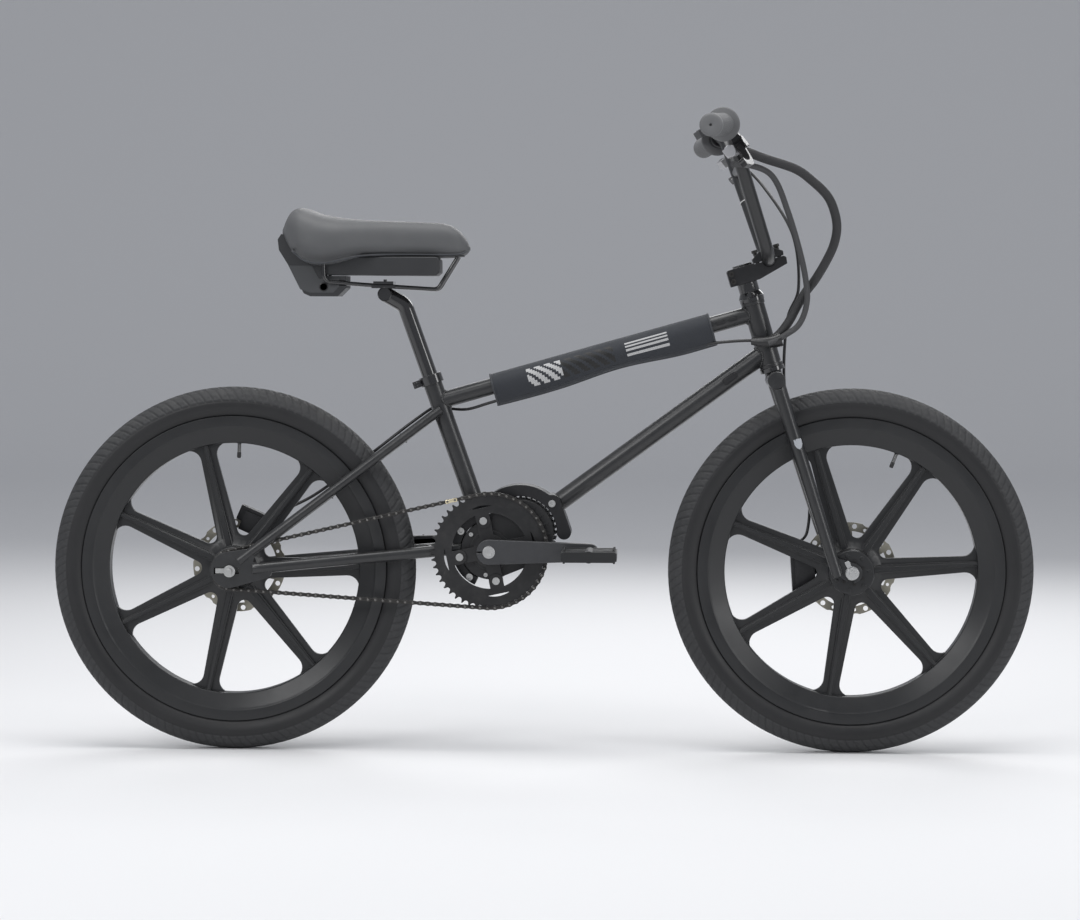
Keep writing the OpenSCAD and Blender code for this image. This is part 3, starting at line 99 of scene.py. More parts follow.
@dataclass(frozen=True)
class Layout:
    """Main points of the bike, from the same sizes as its solid model."""

    tyre_radius: float = 310.0
    tyre_half: float = 29.0
    wheel_base: float = 1050.0
    ring_teeth: int = 48
    cog_teeth: int = 16
    links: int = 102
    pitch: float = 12.7
    chain_y: float = -52.0
    crank_rise: float = 34.5
    seat_angle: float = math.radians(70.4)
    head_angle: float = math.radians(73.5)
    pad_start: float = 94.0
    pad_radius: float = 22.3

    @property
    def rear_axle(self) -> Vector:
        """Middle of the rear axle."""
        return mm(-self.wheel_base / 2, 0, self.tyre_radius)

    @property
    def front_axle(self) -> Vector:
        """Middle of the front axle."""
        return mm(self.wheel_base / 2, 0, self.tyre_radius)

    @staticmethod
    def pitch_radius(teeth: int, pitch: float) -> float:
        """Radius of the circle that the chain's pins follow on a sprocket, in millimetres."""
        return pitch / (2 * math.sin(math.pi / teeth))

    @property
    def chain_centre(self) -> float:
        """Distance between the two sprockets that suits the count of links, in millimetres.

        Returns:
            The distance.
        """
        big = self.pitch_radius(self.ring_teeth, self.pitch)
        small = self.pitch_radius(self.cog_teeth, self.pitch)
        centre = 440.0
        for _ in range(12):
            wrap = math.asin((big - small) / centre)
            count = (self.ring_teeth * (math.pi + 2 * wrap) + self.cog_teeth * (math.pi - 2 * wrap)) / (2 * math.pi)
            count += 2 * centre * math.cos(wrap) / self.pitch
            centre += (self.links - count) * self.pitch / 2
        return centre

    @property
    def crank(self) -> Vector:
        """Middle of the crank axle."""
        run = math.sqrt(self.chain_centre**2 - self.crank_rise**2)
        return self.rear_axle + mm(run, 0, self.crank_rise)

    @property
    def steer_up(self) -> Vector:
        """Direction up the steering axis."""
        return Vector((-math.cos(self.head_angle), 0, math.sin(self.head_angle)))

    @property
    def steer_ahead(self) -> Vector:
        """Direction square to the steering axis, ahead."""
        return Vector((math.sin(self.head_angle), 0, math.cos(self.head_angle)))

    def steer(self, up: float, ahead: float = 0.0, left: float = 0.0) -> Vector:
        """Returns a point by its height along the steering axis and its distances ahead and left of it."""
        foot = self.front_axle - mm(32 / math.sin(self.head_angle), 0, 0)
        return foot + self.steer_up * up * MM + self.steer_ahead * ahead * MM + mm(0, left, 0)

    @property
    def seat_up(self) -> Vector:
        """Direction up the seat tube."""
        return Vector((-math.cos(self.seat_angle), 0, math.sin(self.seat_angle)))

    def seat(self, up: float) -> Vector:
        """Returns a point on the seat tube's axis."""
        return self.crank + self.seat_up * up * MM

    @property
    def head_low(self) -> float:
        """Height of the head tube's lower end along the steering axis."""
        drop = 32 / math.tan(self.head_angle)
        return math.sqrt((self.tyre_radius + 39) ** 2 - 32**2) - drop + 15 + 0.4 + 7

    @property
    def stem_up(self) -> float:
        """Height of the stem's middle along the steering axis."""
        return self.head_low + 116 + 7 + 25 + 14.5 + 0.8

    @property
    def bar_clamp(self) -> Vector:
        """Middle of the bar in its clamp."""
        return self.steer(self.stem_up + 13, 45.5)

    @property
    def bar_slope(self) -> Vector:
        """Step of the right grip's axis for each millimetre to the right."""
        return Vector((-0.1754, -1.0, -0.063))

    @property
    def bar_corner(self) -> Vector:
        """Corner between the right riser and the right grip's line."""
        return self.bar_clamp + mm(-72.2, -180, 218.8)

    def bar(self, right: float) -> Vector:
        """Returns a point on the right grip's line, by its distance from the middle plane."""
        return self.bar_corner + self.bar_slope * (right - 180) * MM

    @property
    def top_line(self) -> tuple[Vector, Vector]:
        """Rear and front ends of the top tube's axis."""
        return self.seat(267), self.steer(self.head_low + 96)

    def top(self, along: float, up: float, left: float = 0.0) -> Vector:
        """Returns a point by its distances along the top tube, above its axis and to the left.

        Args:
            along: Distance from the head tube's axis.
            up: Height above the tube's axis.
            left: Distance to the rider's left.

        Returns:
            The point, in metres.
        """
        rear, front = self.top_line
        axis = (front - rear).normalized()
        return rear + axis * along * MM + Vector((-axis.z, 0, axis.x)) * up * MM + mm(0, left, 0)

    @property
    def top_length(self) -> float:
        """Length of the top tube's axis in millimetres."""
        rear, front = self.top_line
        return (front - rear).length / MM

    @property
    def rail_middle(self) -> Vector:
        """Middle of the saddle rails over the post's clamp."""
        return self.seat(313 + 153) + mm(-26, 0, 8.5)

    @property
    def sleeve(self) -> Vector:
        """Where the looms meet beside the head tube."""
        return self.steer(self.head_low + 46) + mm(4, -31.5, 0)

    @property
    def lever_ahead(self) -> Vector:
        """Direction from the right grip's line towards its lever.

        Returns:
            A unit vector.
        """
        along = self.bar_slope.normalized()
        ahead = Vector((0.62, 0, -0.78))
        return (ahead - along * ahead.dot(along)).normalized()

    @property
    def loom_top(self) -> Vector:
        """Where the right loom starts, beside the right master cylinder.

        Returns:
            The point, in metres.
        """
        along = self.bar_slope.normalized()
        ahead = self.lever_ahead
        return self.bar(219) + along * -36 * MM + ahead * 40 * MM - along.cross(ahead) * 19 * MM


LAYOUT = Layout()


def flipped(point: Vector) -> Vector:
    """Returns the point's mirror image in the bike's middle plane."""
    return Vector((point.x, -point.y, point.z))


# ---------------------------------------------------------------- shader groups


class Shades:
    """Node groups that more than one finish uses, each built once."""

    def __init__(self) -> None:
        """Builds the groups."""
        self.grain = self._grain()
        self.wear = self._wear()
        self.dust = self._dust()
        self.weave = self._weave()
        self.turned = self._turned()

    @staticmethod
    def _start(name: str, inputs: Sequence[tuple[str, str, Any]], outputs: Sequence[tuple[str, str]]) -> Any:
        """Makes an empty group.

        Args:
            name: The group's name.
            inputs: Name, socket type and default of each input.
            outputs: Name and socket type of each output.

        Returns:
            The group, with its input and output nodes.
        """
        tree = bpy.data.node_groups.new(name, "ShaderNodeTree")
        for label, kind, value in inputs:
            socket = tree.interface.new_socket(name=label, in_out="INPUT", socket_type=kind)
            if value is not None:
                socket.default_value = value
        for label, kind in outputs:
            tree.interface.new_socket(name=label, in_out="OUTPUT", socket_type=kind)
        tree.nodes.new("NodeGroupInput")
        tree.nodes.new("NodeGroupOutput")
        return tree

    @staticmethod
    def ends(tree: Any) -> tuple[Any, Any]:
        """Returns a group's input and output nodes."""
        return tree.nodes["Group Input"], tree.nodes["Group Output"]

    @staticmethod
    def math(tree: Any, operation: str, a: Any, b: Any = None, clamp: bool = False) -> Any:
        """Adds a math node and returns its output.

        Args:
            tree: The node tree.
            operation: The math node's operation.
            a: A socket or a number.
            b: A second socket or number, if the operation takes one.
            clamp: Whether the result is kept between 0 and 1.

        Returns:
            The node's output socket.
        """
        node = tree.nodes.new("ShaderNodeMath")
        node.operation = operation
        node.use_clamp = clamp
        for socket, value in zip(node.inputs, (a, b)):
            if value is None:
                continue
            if isinstance(value, (int, float)):
                socket.default_value = value
            else:
                tree.links.new(value, socket)
        return node.outputs[0]

    @staticmethod
    def mix(tree: Any, factor: Any, a: Any, b: Any) -> Any:
        """Adds a colour mix of two sockets or colours and returns its output.

        Args:
            tree: The node tree.
            factor: A socket or a number.
            a: The colour at factor 0.
            b: The colour at factor 1.

        Returns:
            The mixed colour's socket.
        """
        node = tree.nodes.new("ShaderNodeMix")
        node.data_type = "RGBA"
        for index, value in ((0, factor), (6, a), (7, b)):
            if isinstance(value, float):
                node.inputs[index].default_value = value
            elif isinstance(value, tuple):
                node.inputs[index].default_value = (*value, 1.0)
            else:
                tree.links.new(value, node.inputs[index])
        return node.outputs[2]

    @staticmethod
    def noise(tree: Any, vector: Any, scale: Any, detail: float = 4.0, rough: float = 0.6) -> Any:
        """Adds a noise texture and returns its value output.

        Args:
            tree: The node tree.
            vector: Where the noise is read.
            scale: A socket or a number.
            detail: How many octaves.
            rough: How strong the finer octaves are.

        Returns:
            The value's socket.
        """
        node = tree.nodes.new("ShaderNodeTexNoise")
        node.inputs["Detail"].default_value = detail
        node.inputs["Roughness"].default_value = rough
        tree.links.new(vector, node.inputs["Vector"])
        if isinstance(scale, (int, float)):
            node.inputs["Scale"].default_value = scale
        else:
            tree.links.new(scale, node.inputs["Scale"])
        return node.outputs[0]

    @staticmethod
    def span(tree: Any, value: Any, low: float, high: float, to_low: float = 0.0, to_high: float = 1.0) -> Any:
        """Maps a value from one range to another, clamped, and returns the output.

        Args:
            tree: The node tree.
            value: The socket to map.
            low: Value that becomes to_low.
            high: Value that becomes to_high.
            to_low: Low end of the result.
            to_high: High end of the result.

        Returns:
            The mapped value's socket.
        """
        node = tree.nodes.new("ShaderNodeMapRange")
        tree.links.new(value, node.inputs[0])
        for index, number in ((1, low), (2, high), (3, to_low), (4, to_high)):
            node.inputs[index].default_value = number
        return node.outputs[0]

    def _grain(self) -> Any:
        """Fine grain of paint, casting or moulded plastic, with slow patches over it.

        Returns:
            The node group.
        """
        tree = self._start(
            "fine_grain",
            [("Vector", "NodeSocketVector", None), ("Scale", "NodeSocketFloat", 600.0)],
            [("Height", "NodeSocketFloat"), ("Patch", "NodeSocketFloat")],
        )
        start, end = self.ends(tree)
        fine = self.noise(tree, start.outputs["Vector"], start.outputs["Scale"], 3.0, 0.55)
        slow = self.noise(tree, start.outputs["Vector"], 9.0, 5.0, 0.6)
        tree.links.new(fine, end.inputs["Height"])
        tree.links.new(self.span(tree, slow, 0.35, 0.65), end.inputs["Patch"])
        return tree

    def _wear(self) -> Any:
        """Paint rubbed thin on outer edges.

        Returns:
            The node group.
        """
        tree = self._start(
            "edge_wear",
            [
                ("Vector", "NodeSocketVector", None),
                ("Colour", "NodeSocketColor", None),
                ("Worn", "NodeSocketColor", None),
                ("Amount", "NodeSocketFloat", 0.3),
            ],
            [("Colour", "NodeSocketColor"), ("Mask", "NodeSocketFloat")],
        )
        start, end = self.ends(tree)
        edge = tree.nodes.new("ShaderNodeNewGeometry").outputs["Pointiness"]
        near = self.span(tree, edge, 0.51, 0.6)
        spots = self.noise(tree, start.outputs["Vector"], 70.0, 6.0, 0.7)
        broken = self.math(tree, "MULTIPLY", near, self.span(tree, spots, 0.42, 0.66))
        mask = self.math(tree, "MULTIPLY", broken, start.outputs["Amount"], clamp=True)
        colour = self.mix(tree, mask, start.outputs["Colour"], start.outputs["Worn"])
        tree.links.new(colour, end.inputs["Colour"])
        tree.links.new(mask, end.inputs["Mask"])
        return tree

    def _dust(self) -> Any:
        """A thin film of dust on what faces up.

        Returns:
            The node group.
        """
        tree = self._start(
            "settled_dust",
            [
                ("Vector", "NodeSocketVector", None),
                ("Colour", "NodeSocketColor", None),
                ("Amount", "NodeSocketFloat", 0.1),
            ],
            [("Colour", "NodeSocketColor"), ("Mask", "NodeSocketFloat")],
        )
        start, end = self.ends(tree)
        normal = tree.nodes.new("ShaderNodeNewGeometry").outputs["Normal"]
        parts = tree.nodes.new("ShaderNodeSeparateXYZ")
        tree.links.new(normal, parts.inputs[0])
        facing = self.span(tree, parts.outputs[2], 0.1, 1.0)
        spots = self.noise(tree, start.outputs["Vector"], 42.0, 7.0, 0.75)
        film = self.math(tree, "MULTIPLY", facing, self.span(tree, spots, 0.38, 0.7))
        mask = self.math(tree, "MULTIPLY", film, start.outputs["Amount"], clamp=True)
        colour = self.mix(tree, mask, start.outputs["Colour"], (0.34, 0.33, 0.31))
        tree.links.new(colour, end.inputs["Colour"])
        tree.links.new(mask, end.inputs["Mask"])
        return tree

    def _weave(self) -> Any:
        """Crossed threads in the plane of a piece's own cloth map, whose unit is a metre, with painted shade between
        them.

        Returns:
            The node group.
        """
        tree = self._start(
            "thread_weave",
            [
                ("Vector", "NodeSocketVector", None),
                ("Threads", "NodeSocketFloat", 900.0),
                ("Slant", "NodeSocketFloat", 1.0),
            ],
            [("Height", "NodeSocketFloat"), ("Shade", "NodeSocketFloat")],
        )
        start, end = self.ends(tree)
        parts = tree.nodes.new("ShaderNodeSeparateXYZ")
        tree.links.new(start.outputs["Vector"], parts.inputs[0])
        across = self.math(tree, "MULTIPLY", parts.outputs[1], start.outputs["Slant"])
        one = self.math(tree, "ADD", parts.outputs[0], across)
        two = self.math(tree, "SUBTRACT", parts.outputs[0], across)
        waves = []
        for line in (one, two):
            turns = self.math(tree, "MULTIPLY", line, start.outputs["Threads"])
            waves.append(self.math(tree, "SINE", self.math(tree, "MULTIPLY", turns, math.tau)))
        # Shade is painted shade: every other cell of the weave and the valleys between threads get a darker colour.
        over = self.math(tree, "GREATER_THAN", self.math(tree, "MULTIPLY", waves[0], waves[1]), 0.0)
        high = self.math(tree, "MAXIMUM", waves[0], waves[1])
        height = self.math(tree, "MULTIPLY_ADD", high, 0.5)
        tree.links.new(height, end.inputs["Height"])
        tree.links.new(self.math(tree, "MULTIPLY", over, height, clamp=True), end.inputs["Shade"])
        return tree

    def _turned(self) -> Any:
        """Fine lines round an axle, as on a ground steel disc.

        Returns:
            The node group.
        """
        tree = self._start(
            "turned_lines",
            [
                ("Vector", "NodeSocketVector", None),
                ("Centre", "NodeSocketVector", (0.0, 0.0, 0.0)),
                ("Scale", "NodeSocketFloat", 900.0),
            ],
            [("Height", "NodeSocketFloat"), ("Shade", "NodeSocketFloat")],
        )
        start, end = self.ends(tree)
        away = tree.nodes.new("ShaderNodeVectorMath")
        away.operation = "SUBTRACT"
        tree.links.new(start.outputs["Vector"], away.inputs[0])
        tree.links.new(start.outputs["Centre"], away.inputs[1])
        flat = tree.nodes.new("ShaderNodeVectorMath")
        flat.operation = "MULTIPLY"
        flat.inputs[1].default_value = (1.0, 0.0, 1.0)
        tree.links.new(away.outputs[0], flat.inputs[0])
        length = tree.nodes.new("ShaderNodeVectorMath")
        length.operation = "LENGTH"
        tree.links.new(flat.outputs[0], length.inputs[0])
        spread = tree.nodes.new("ShaderNodeCombineXYZ")
        tree.links.new(length.outputs["Value"], spread.inputs[0])
        rings = self.noise(tree, spread.outputs[0], start.outputs["Scale"], 3.0, 0.7)
        tree.links.new(rings, end.inputs["Height"])
        tree.links.new(self.span(tree, rings, 0.35, 0.65), end.inputs["Shade"])
        return tree


# ---------------------------------------------------------------- finishes


class Surface(Enum):
    """What a finish's own pattern is, besides its grain."""

    PLAIN = "plain"
    CLOTH = "cloth"
    BRAID = "braid"
    TURNED = "turned"
    HIDE = "hide"


@dataclass(frozen=True)
class Finish:
    """One finish: its colours, its gloss and the scale of its detail."""

    name: str
    base: Colour
    second: Colour
    rough: tuple[float, float] = (0.35, 0.5)
    metal: float = 0.0
    coat: float = 0.0
    coat_rough: float = 0.15
    sheen: float = 0.0
    grain: float = 700.0
    depth: float = 0.12
    wear: float = 0.0
    worn: Colour = (0.3, 0.3, 0.3)
    dust: float = 0.06
    specular: float = 0.5
    surface: Surface = Surface.PLAIN
    threads: float = 900.0
    slant: float = 1.0
    centre: tuple[float, float, float] = (0.0, 0.0, 0.0)

    def build(self, shades: Shades) -> Any:
        """Makes the material.

        Args:
            shades: The shared node groups.

        Returns:
            The material.
        """
        material = bpy.data.materials.new(self.name)
        material.use_nodes = True
        tree = material.node_tree
        principled = tree.nodes["Principled BSDF"]
        place = tree.nodes.new("ShaderNodeTexCoord")
        vector = place.outputs["Object"]
        grain = self._group(tree, shades.grain, vector, Scale=self.grain)
        height, patch = grain.outputs["Height"], grain.outputs["Patch"]
        colour = Shades.mix(tree, patch, self.base, self.second)
        relief = height
        if self.surface in (Surface.CLOTH, Surface.BRAID):
            cloth = self._group(tree, shades.weave, place.outputs["UV"], Threads=self.threads, Slant=self.slant)
            # Painted shade: cloth and braid colour is darkened where the weave's Shade output is low, in the valleys
            # between threads.
            dark = tuple(c * 0.42 for c in self.base)
            colour = Shades.mix(tree, cloth.outputs["Shade"], Shades.mix(tree, 0.55, colour, dark), colour)
            relief = cloth.outputs["Height"]
        elif self.surface is Surface.TURNED:
            rings = self._group(tree, shades.turned, vector, Centre=self.centre, Scale=self.threads)
            colour = Shades.mix(tree, rings.outputs["Shade"], colour, tuple(c * 0.72 for c in self.base))
            relief = rings.outputs["Height"]
        elif self.surface is Surface.HIDE:
            cells = tree.nodes.new("ShaderNodeTexVoronoi")
            cells.inputs["Scale"].default_value = self.threads
            tree.links.new(vector, cells.inputs["Vector"])
            relief = Shades.math(tree, "MULTIPLY_ADD", cells.outputs["Distance"], 0.8)
            tree.links.new(height, relief.node.inputs[2])
        if self.wear > 0:
            worn = self._group(tree, shades.wear, vector, Amount=self.wear, Worn=(*self.worn, 1.0))
            tree.links.new(colour, worn.inputs["Colour"])
            colour = worn.outputs["Colour"]
        film = self._group(tree, shades.dust, vector, Amount=self.dust)
        tree.links.new(colour, film.inputs["Colour"])
        tree.links.new(film.outputs["Colour"], principled.inputs["Base Color"])
        rough = Shades.span(tree, patch, 0.0, 1.0, self.rough[0], self.rough[1])
        rough = Shades.math(tree, "ADD", rough, Shades.math(tree, "MULTIPLY", film.outputs["Mask"], 0.5), clamp=True)
        tree.links.new(rough, principled.inputs["Roughness"])
        bump = tree.nodes.new("ShaderNodeBump")
        bump.inputs["Strength"].default_value = self.depth
        bump.inputs["Distance"].default_value = 0.0004
        tree.links.new(relief, bump.inputs["Height"])
        tree.links.new(bump.outputs["Normal"], principled.inputs["Normal"])
        principled.inputs["Metallic"].default_value = self.metal
        principled.inputs["Specular IOR Level"].default_value = self.specular
        principled.inputs["Coat Weight"].default_value = self.coat
        principled.inputs["Coat Roughness"].default_value = self.coat_rough
        principled.inputs["Sheen Weight"].default_value = self.sheen
        return material

    @staticmethod
    def _group(tree: Any, group: Any, vector: Any, **values: Any) -> Any:
        """Places a shared group in a material with its own values.

        Args:
            tree: The node tree.
            group: The shared group.
            vector: Socket that feeds its Vector.
            values: Numbers for its other inputs.

        Returns:
            The group's node.
        """
        node = tree.nodes.new("ShaderNodeGroup")
        node.node_tree = group
        tree.links.new(vector, node.inputs["Vector"])
        for label, value in values.items():
            node.inputs[label].default_value = value
        return node


BLACK_PAINT = Finish(
    "satin_black_paint", (0.012, 0.0125, 0.0135), (0.015, 0.0155, 0.0165), rough=(0.3, 0.38), coat=0.2,
    coat_rough=0.28, depth=0.05, grain=900, wear=0.25, worn=(0.12, 0.12, 0.12),
)
ANODISED = Finish(
    "black_anodised", (0.013, 0.013, 0.0145), (0.017, 0.017, 0.0185), rough=(0.3, 0.4), metal=0.3, depth=0.06,
    wear=0.12, worn=(0.12, 0.12, 0.12),
)
CASTING = Finish(
    "black_casting", (0.013, 0.013, 0.014), (0.019, 0.019, 0.02), rough=(0.4, 0.55), metal=0.2, depth=0.35,
    grain=420, wear=0.12, worn=(0.1, 0.1, 0.1),
)
FORGED = Finish(
    "forged_crank", (0.045, 0.046, 0.049), (0.055, 0.056, 0.059), rough=(0.34, 0.44), metal=0.35, depth=0.08,
    wear=0.12, worn=(0.16, 0.16, 0.16),
)
RING_PLATE = Finish(
    "chainring_plate", (0.014, 0.014, 0.015), (0.02, 0.02, 0.021), rough=(0.36, 0.48), metal=0.3, depth=0.08,
    wear=0.3, worn=(0.12, 0.115, 0.11),
)
BRIGHT_STEEL = Finish(
    "bright_steel", (0.62, 0.62, 0.61), (0.5, 0.5, 0.49), rough=(0.2, 0.34), metal=1.0, depth=0.06, dust=0.03,
)
SILVER = Finish(
    "satin_silver", (0.55, 0.55, 0.56), (0.46, 0.46, 0.47), rough=(0.28, 0.4), metal=0.9, depth=0.08, dust=0.03,
)
OILED_STEEL = Finish(
    "oiled_black_steel", (0.016, 0.0155, 0.015), (0.028, 0.0265, 0.025), rough=(0.3, 0.44), metal=0.4, depth=0.1,
    wear=0.25, worn=(0.14, 0.13, 0.12),
)
PIN_STEEL = Finish(
    "polished_pin", (0.2, 0.195, 0.185), (0.14, 0.135, 0.13), rough=(0.25, 0.36), metal=0.9, depth=0.04
)
PALE_LINK = Finish(
    "pale_gold_link", (0.72, 0.64, 0.44), (0.62, 0.55, 0.38), rough=(0.24, 0.34), metal=0.75, depth=0.05
)
ROTOR_REAR = Finish(
    "rear_disc_steel", (0.42, 0.4, 0.33), (0.34, 0.32, 0.27), rough=(0.28, 0.4), metal=0.85, depth=0.25,
    surface=Surface.TURNED, threads=2600, centre=(-0.525, 0.0, 0.31),
)
ROTOR_FRONT = Finish(
    "front_disc_steel", (0.42, 0.4, 0.33), (0.34, 0.32, 0.27), rough=(0.28, 0.4), metal=0.85, depth=0.25,
    surface=Surface.TURNED, threads=2600, centre=(0.525, 0.0, 0.31),
)
TREAD = Finish(
    "tyre_tread", (0.034, 0.0345, 0.036), (0.044, 0.0445, 0.046), rough=(0.6, 0.74), depth=0.35, grain=800,
    dust=0.1, specular=0.35,
)
SIDEWALL = Finish(
    "tyre_sidewall", (0.013, 0.013, 0.014), (0.017, 0.017, 0.018), rough=(0.42, 0.55), depth=0.18, grain=1100,
    dust=0.05, specular=0.4,
)
NYLON = Finish(
    "moulded_nylon", (0.0105, 0.011, 0.012), (0.014, 0.0145, 0.0155), rough=(0.32, 0.42), depth=0.16, grain=520,
    dust=0.03, specular=0.5,
)
GLOSS = Finish(
    "gloss_black", (0.008, 0.008, 0.009), (0.012, 0.012, 0.013), rough=(0.1, 0.17), coat=0.8, coat_rough=0.06,
    depth=0.02, dust=0.03,
)
SADDLE_SKIN = Finish(
    "saddle_skin", (0.088, 0.09, 0.093), (0.1, 0.102, 0.105), rough=(0.5, 0.6), depth=0.25,
    grain=1500, surface=Surface.HIDE, threads=1300, dust=0.1, specular=0.4,
)
CASE = Finish(
    "dark_case", (0.019, 0.02, 0.022), (0.024, 0.025, 0.027), rough=(0.42, 0.55), depth=0.2, grain=900,
)
PANEL = Finish("grey_panel", (0.045, 0.047, 0.05), (0.055, 0.057, 0.06), rough=(0.45, 0.58), depth=0.2, grain=900)
RUBBER_KEY = Finish("rubber_key", (0.09, 0.09, 0.095), (0.11, 0.11, 0.115), rough=(0.55, 0.68), depth=0.1)
GRIP = Finish(
    "grey_grip_rubber", (0.12, 0.122, 0.125), (0.14, 0.142, 0.145), rough=(0.55, 0.7), depth=0.3, grain=900, dust=0.1,
)
HOSE = Finish("black_hose", (0.01, 0.01, 0.011), (0.014, 0.014, 0.015), rough=(0.3, 0.42), depth=0.05)
BRAID_DARK = Finish(
    "dark_braid", (0.026, 0.026, 0.028), (0.034, 0.034, 0.036), rough=(0.5, 0.66), depth=0.9,
    surface=Surface.BRAID, threads=170, slant=1.6,
)
BRAID_PALE = Finish(
    "grey_braid", (0.06, 0.06, 0.063), (0.075, 0.075, 0.078), rough=(0.5, 0.66), depth=0.9,
    surface=Surface.BRAID, threads=200, slant=1.6,
)
SHRINK = Finish(
    "shrink_sleeve", (0.012, 0.012, 0.013), (0.018, 0.018, 0.019), rough=(0.28, 0.4), depth=0.12, grain=300
)
CLOTH = Finish(
    "woven_cloth", (0.044, 0.048, 0.056), (0.053, 0.057, 0.065), rough=(0.75, 0.88), depth=0.85, sheen=0.12,
    surface=Surface.CLOTH, threads=330, slant=0.75, specular=0.25, dust=0.05,
)
PALE_PRINT = Finish(
    "pale_print", (0.6, 0.6, 0.6), (0.54, 0.54, 0.54), rough=(0.5, 0.6), depth=0.5, surface=Surface.CLOTH,
    threads=330, slant=0.75,
)
DARK_PRINT = Finish(
    "dark_print", (0.006, 0.006, 0.006), (0.008, 0.008, 0.008), rough=(0.4, 0.5), depth=0.5, surface=Surface.CLOTH,
    threads=330, slant=0.75,
)
PIPING = Finish(
    "edge_binding", (0.05, 0.054, 0.062), (0.06, 0.064, 0.072), rough=(0.7, 0.8), depth=0.6, sheen=0.1,
    surface=Surface.BRAID, threads=420, slant=1.0,
)
WHITE_TIE = Finish("white_tie", (0.7, 0.7, 0.69), (0.64, 0.64, 0.63), rough=(0.35, 0.45), depth=0.05)
GLASS_SCREEN = Finish(
    "dark_screen", (0.01, 0.012, 0.014), (0.014, 0.016, 0.018), rough=(0.06, 0.1), coat=1.0, coat_rough=0.03,
    depth=0.0,
)
BADGE = Finish("plain_badge", (0.55, 0.57, 0.6), (0.45, 0.47, 0.5), rough=(0.25, 0.35), metal=0.6, depth=0.05)
PAD_METAL = Finish("sintered_pad", (0.3, 0.26, 0.2), (0.22, 0.19, 0.15), rough=(0.5, 0.65), metal=0.7, depth=0.4)


@dataclass
class Paintshop:
    """Makes each finish once and hands out its material."""

    shades: Shades = field(default_factory=Shades)
    made: dict[str, Any] = field(default_factory=dict)

    def __call__(self, finish: Finish) -> Any:
        """Returns the material of a finish.

        Args:
            finish: The finish.

        Returns:
            Its material, made on the first call.
        """
        if finish.name not in self.made:
            self.made[finish.name] = finish.build(self.shades)
        return self.made[finish.name]


# ---------------------------------------------------------------- mesh tools


def piece_from(name: str, points: Sequence[Any], faces: Sequence[Sequence[int]], smooth: float | None = 40.0) -> Any:
    """Makes a mesh object.

    Args:
        name: The piece's name.
        points: Its vertices, in metres.
        faces: Its faces, as lists of vertex numbers.
        smooth: Angle in degrees above which an edge stays sharp, or None for smooth all over.

    Returns:
        The object, linked to the scene.
    """
    mesh = bpy.data.meshes.new(name)
    mesh.from_pydata([tuple(p) for p in points], [], [list(f) for f in faces])
    mesh.update()
    mesh.shade_smooth()
    if smooth is not None:
        mesh.set_sharp_from_angle(angle=math.radians(smooth))
    thing = bpy.data.objects.new(name, mesh)
    bpy.context.scene.collection.objects.link(thing)
    return thing


def spline(points: Sequence[Vector], steps: int) -> list[Vector]:
    """Returns a smooth curve through the points, with this many steps between two of them.

    Args:
        points: Points that the curve passes through.
        steps: Steps between two points.

    Returns:
        The points of the curve.
    """
    path = []
    last = len(points) - 1
    for i in range(last):
        a, b = points[max(i - 1, 0)], points[i]
        c, d = points[i + 1], points[min(i + 2, last)]
        for k in range(steps):
            t = k / steps
            path.append(
                0.5 * (2 * b + (c - a) * t + (2 * a - 5 * b + 4 * c - d) * t * t + (3 * b - a - 3 * c + d) * t**3)
            )
    path.append(points[last].copy())
    return path


def bent_path(points: Sequence[Vector], radii: Sequence[float], steps: int = 20) -> list[Vector]:
    """Returns a pipe's path with an arc of the given radius, in metres, at each inner corner.

    Args:
        points: Corners of the pipe's middle line.
        radii: Bend radius at each inner corner.
        steps: Steps in each bend.

    Returns:
        The points of the path.
    """
    path = [points[0]]
    for i in range(1, len(points) - 1):
        d1 = (points[i] - points[i - 1]).normalized()
        d2 = (points[i + 1] - points[i]).normalized()
        turn = d1.angle(d2)
        side = d1.cross(d2).normalized()
        inward = side.cross(d1)
        radius = radii[i - 1]
        centre = points[i] - d1 * radius * math.tan(turn / 2) + inward * radius
        for k in range(steps + 1):
            a = turn * k / steps
            path.append(centre + (d1 * math.sin(a) - inward * math.cos(a)) * radius)
    path.append(points[-1])
    return path


def frames_along(path: Sequence[Vector]) -> list[tuple[Vector, Vector, Vector]]:
    """Returns a heading and two side directions at each point of a path, with no twist between them.

    Args:
        path: The points of a path.

    Returns:
        Three unit vectors for each point.
    """
    frames = []
    up = Vector((0.1, 1.0, 0.2))
    last = len(path) - 1
    for i in range(len(path)):
        heading = (path[min(i + 1, last)] - path[max(i - 1, 0)]).normalized()
        up = (up - heading * up.dot(heading)).normalized()
        frames.append((heading, up, heading.cross(up)))
    return frames


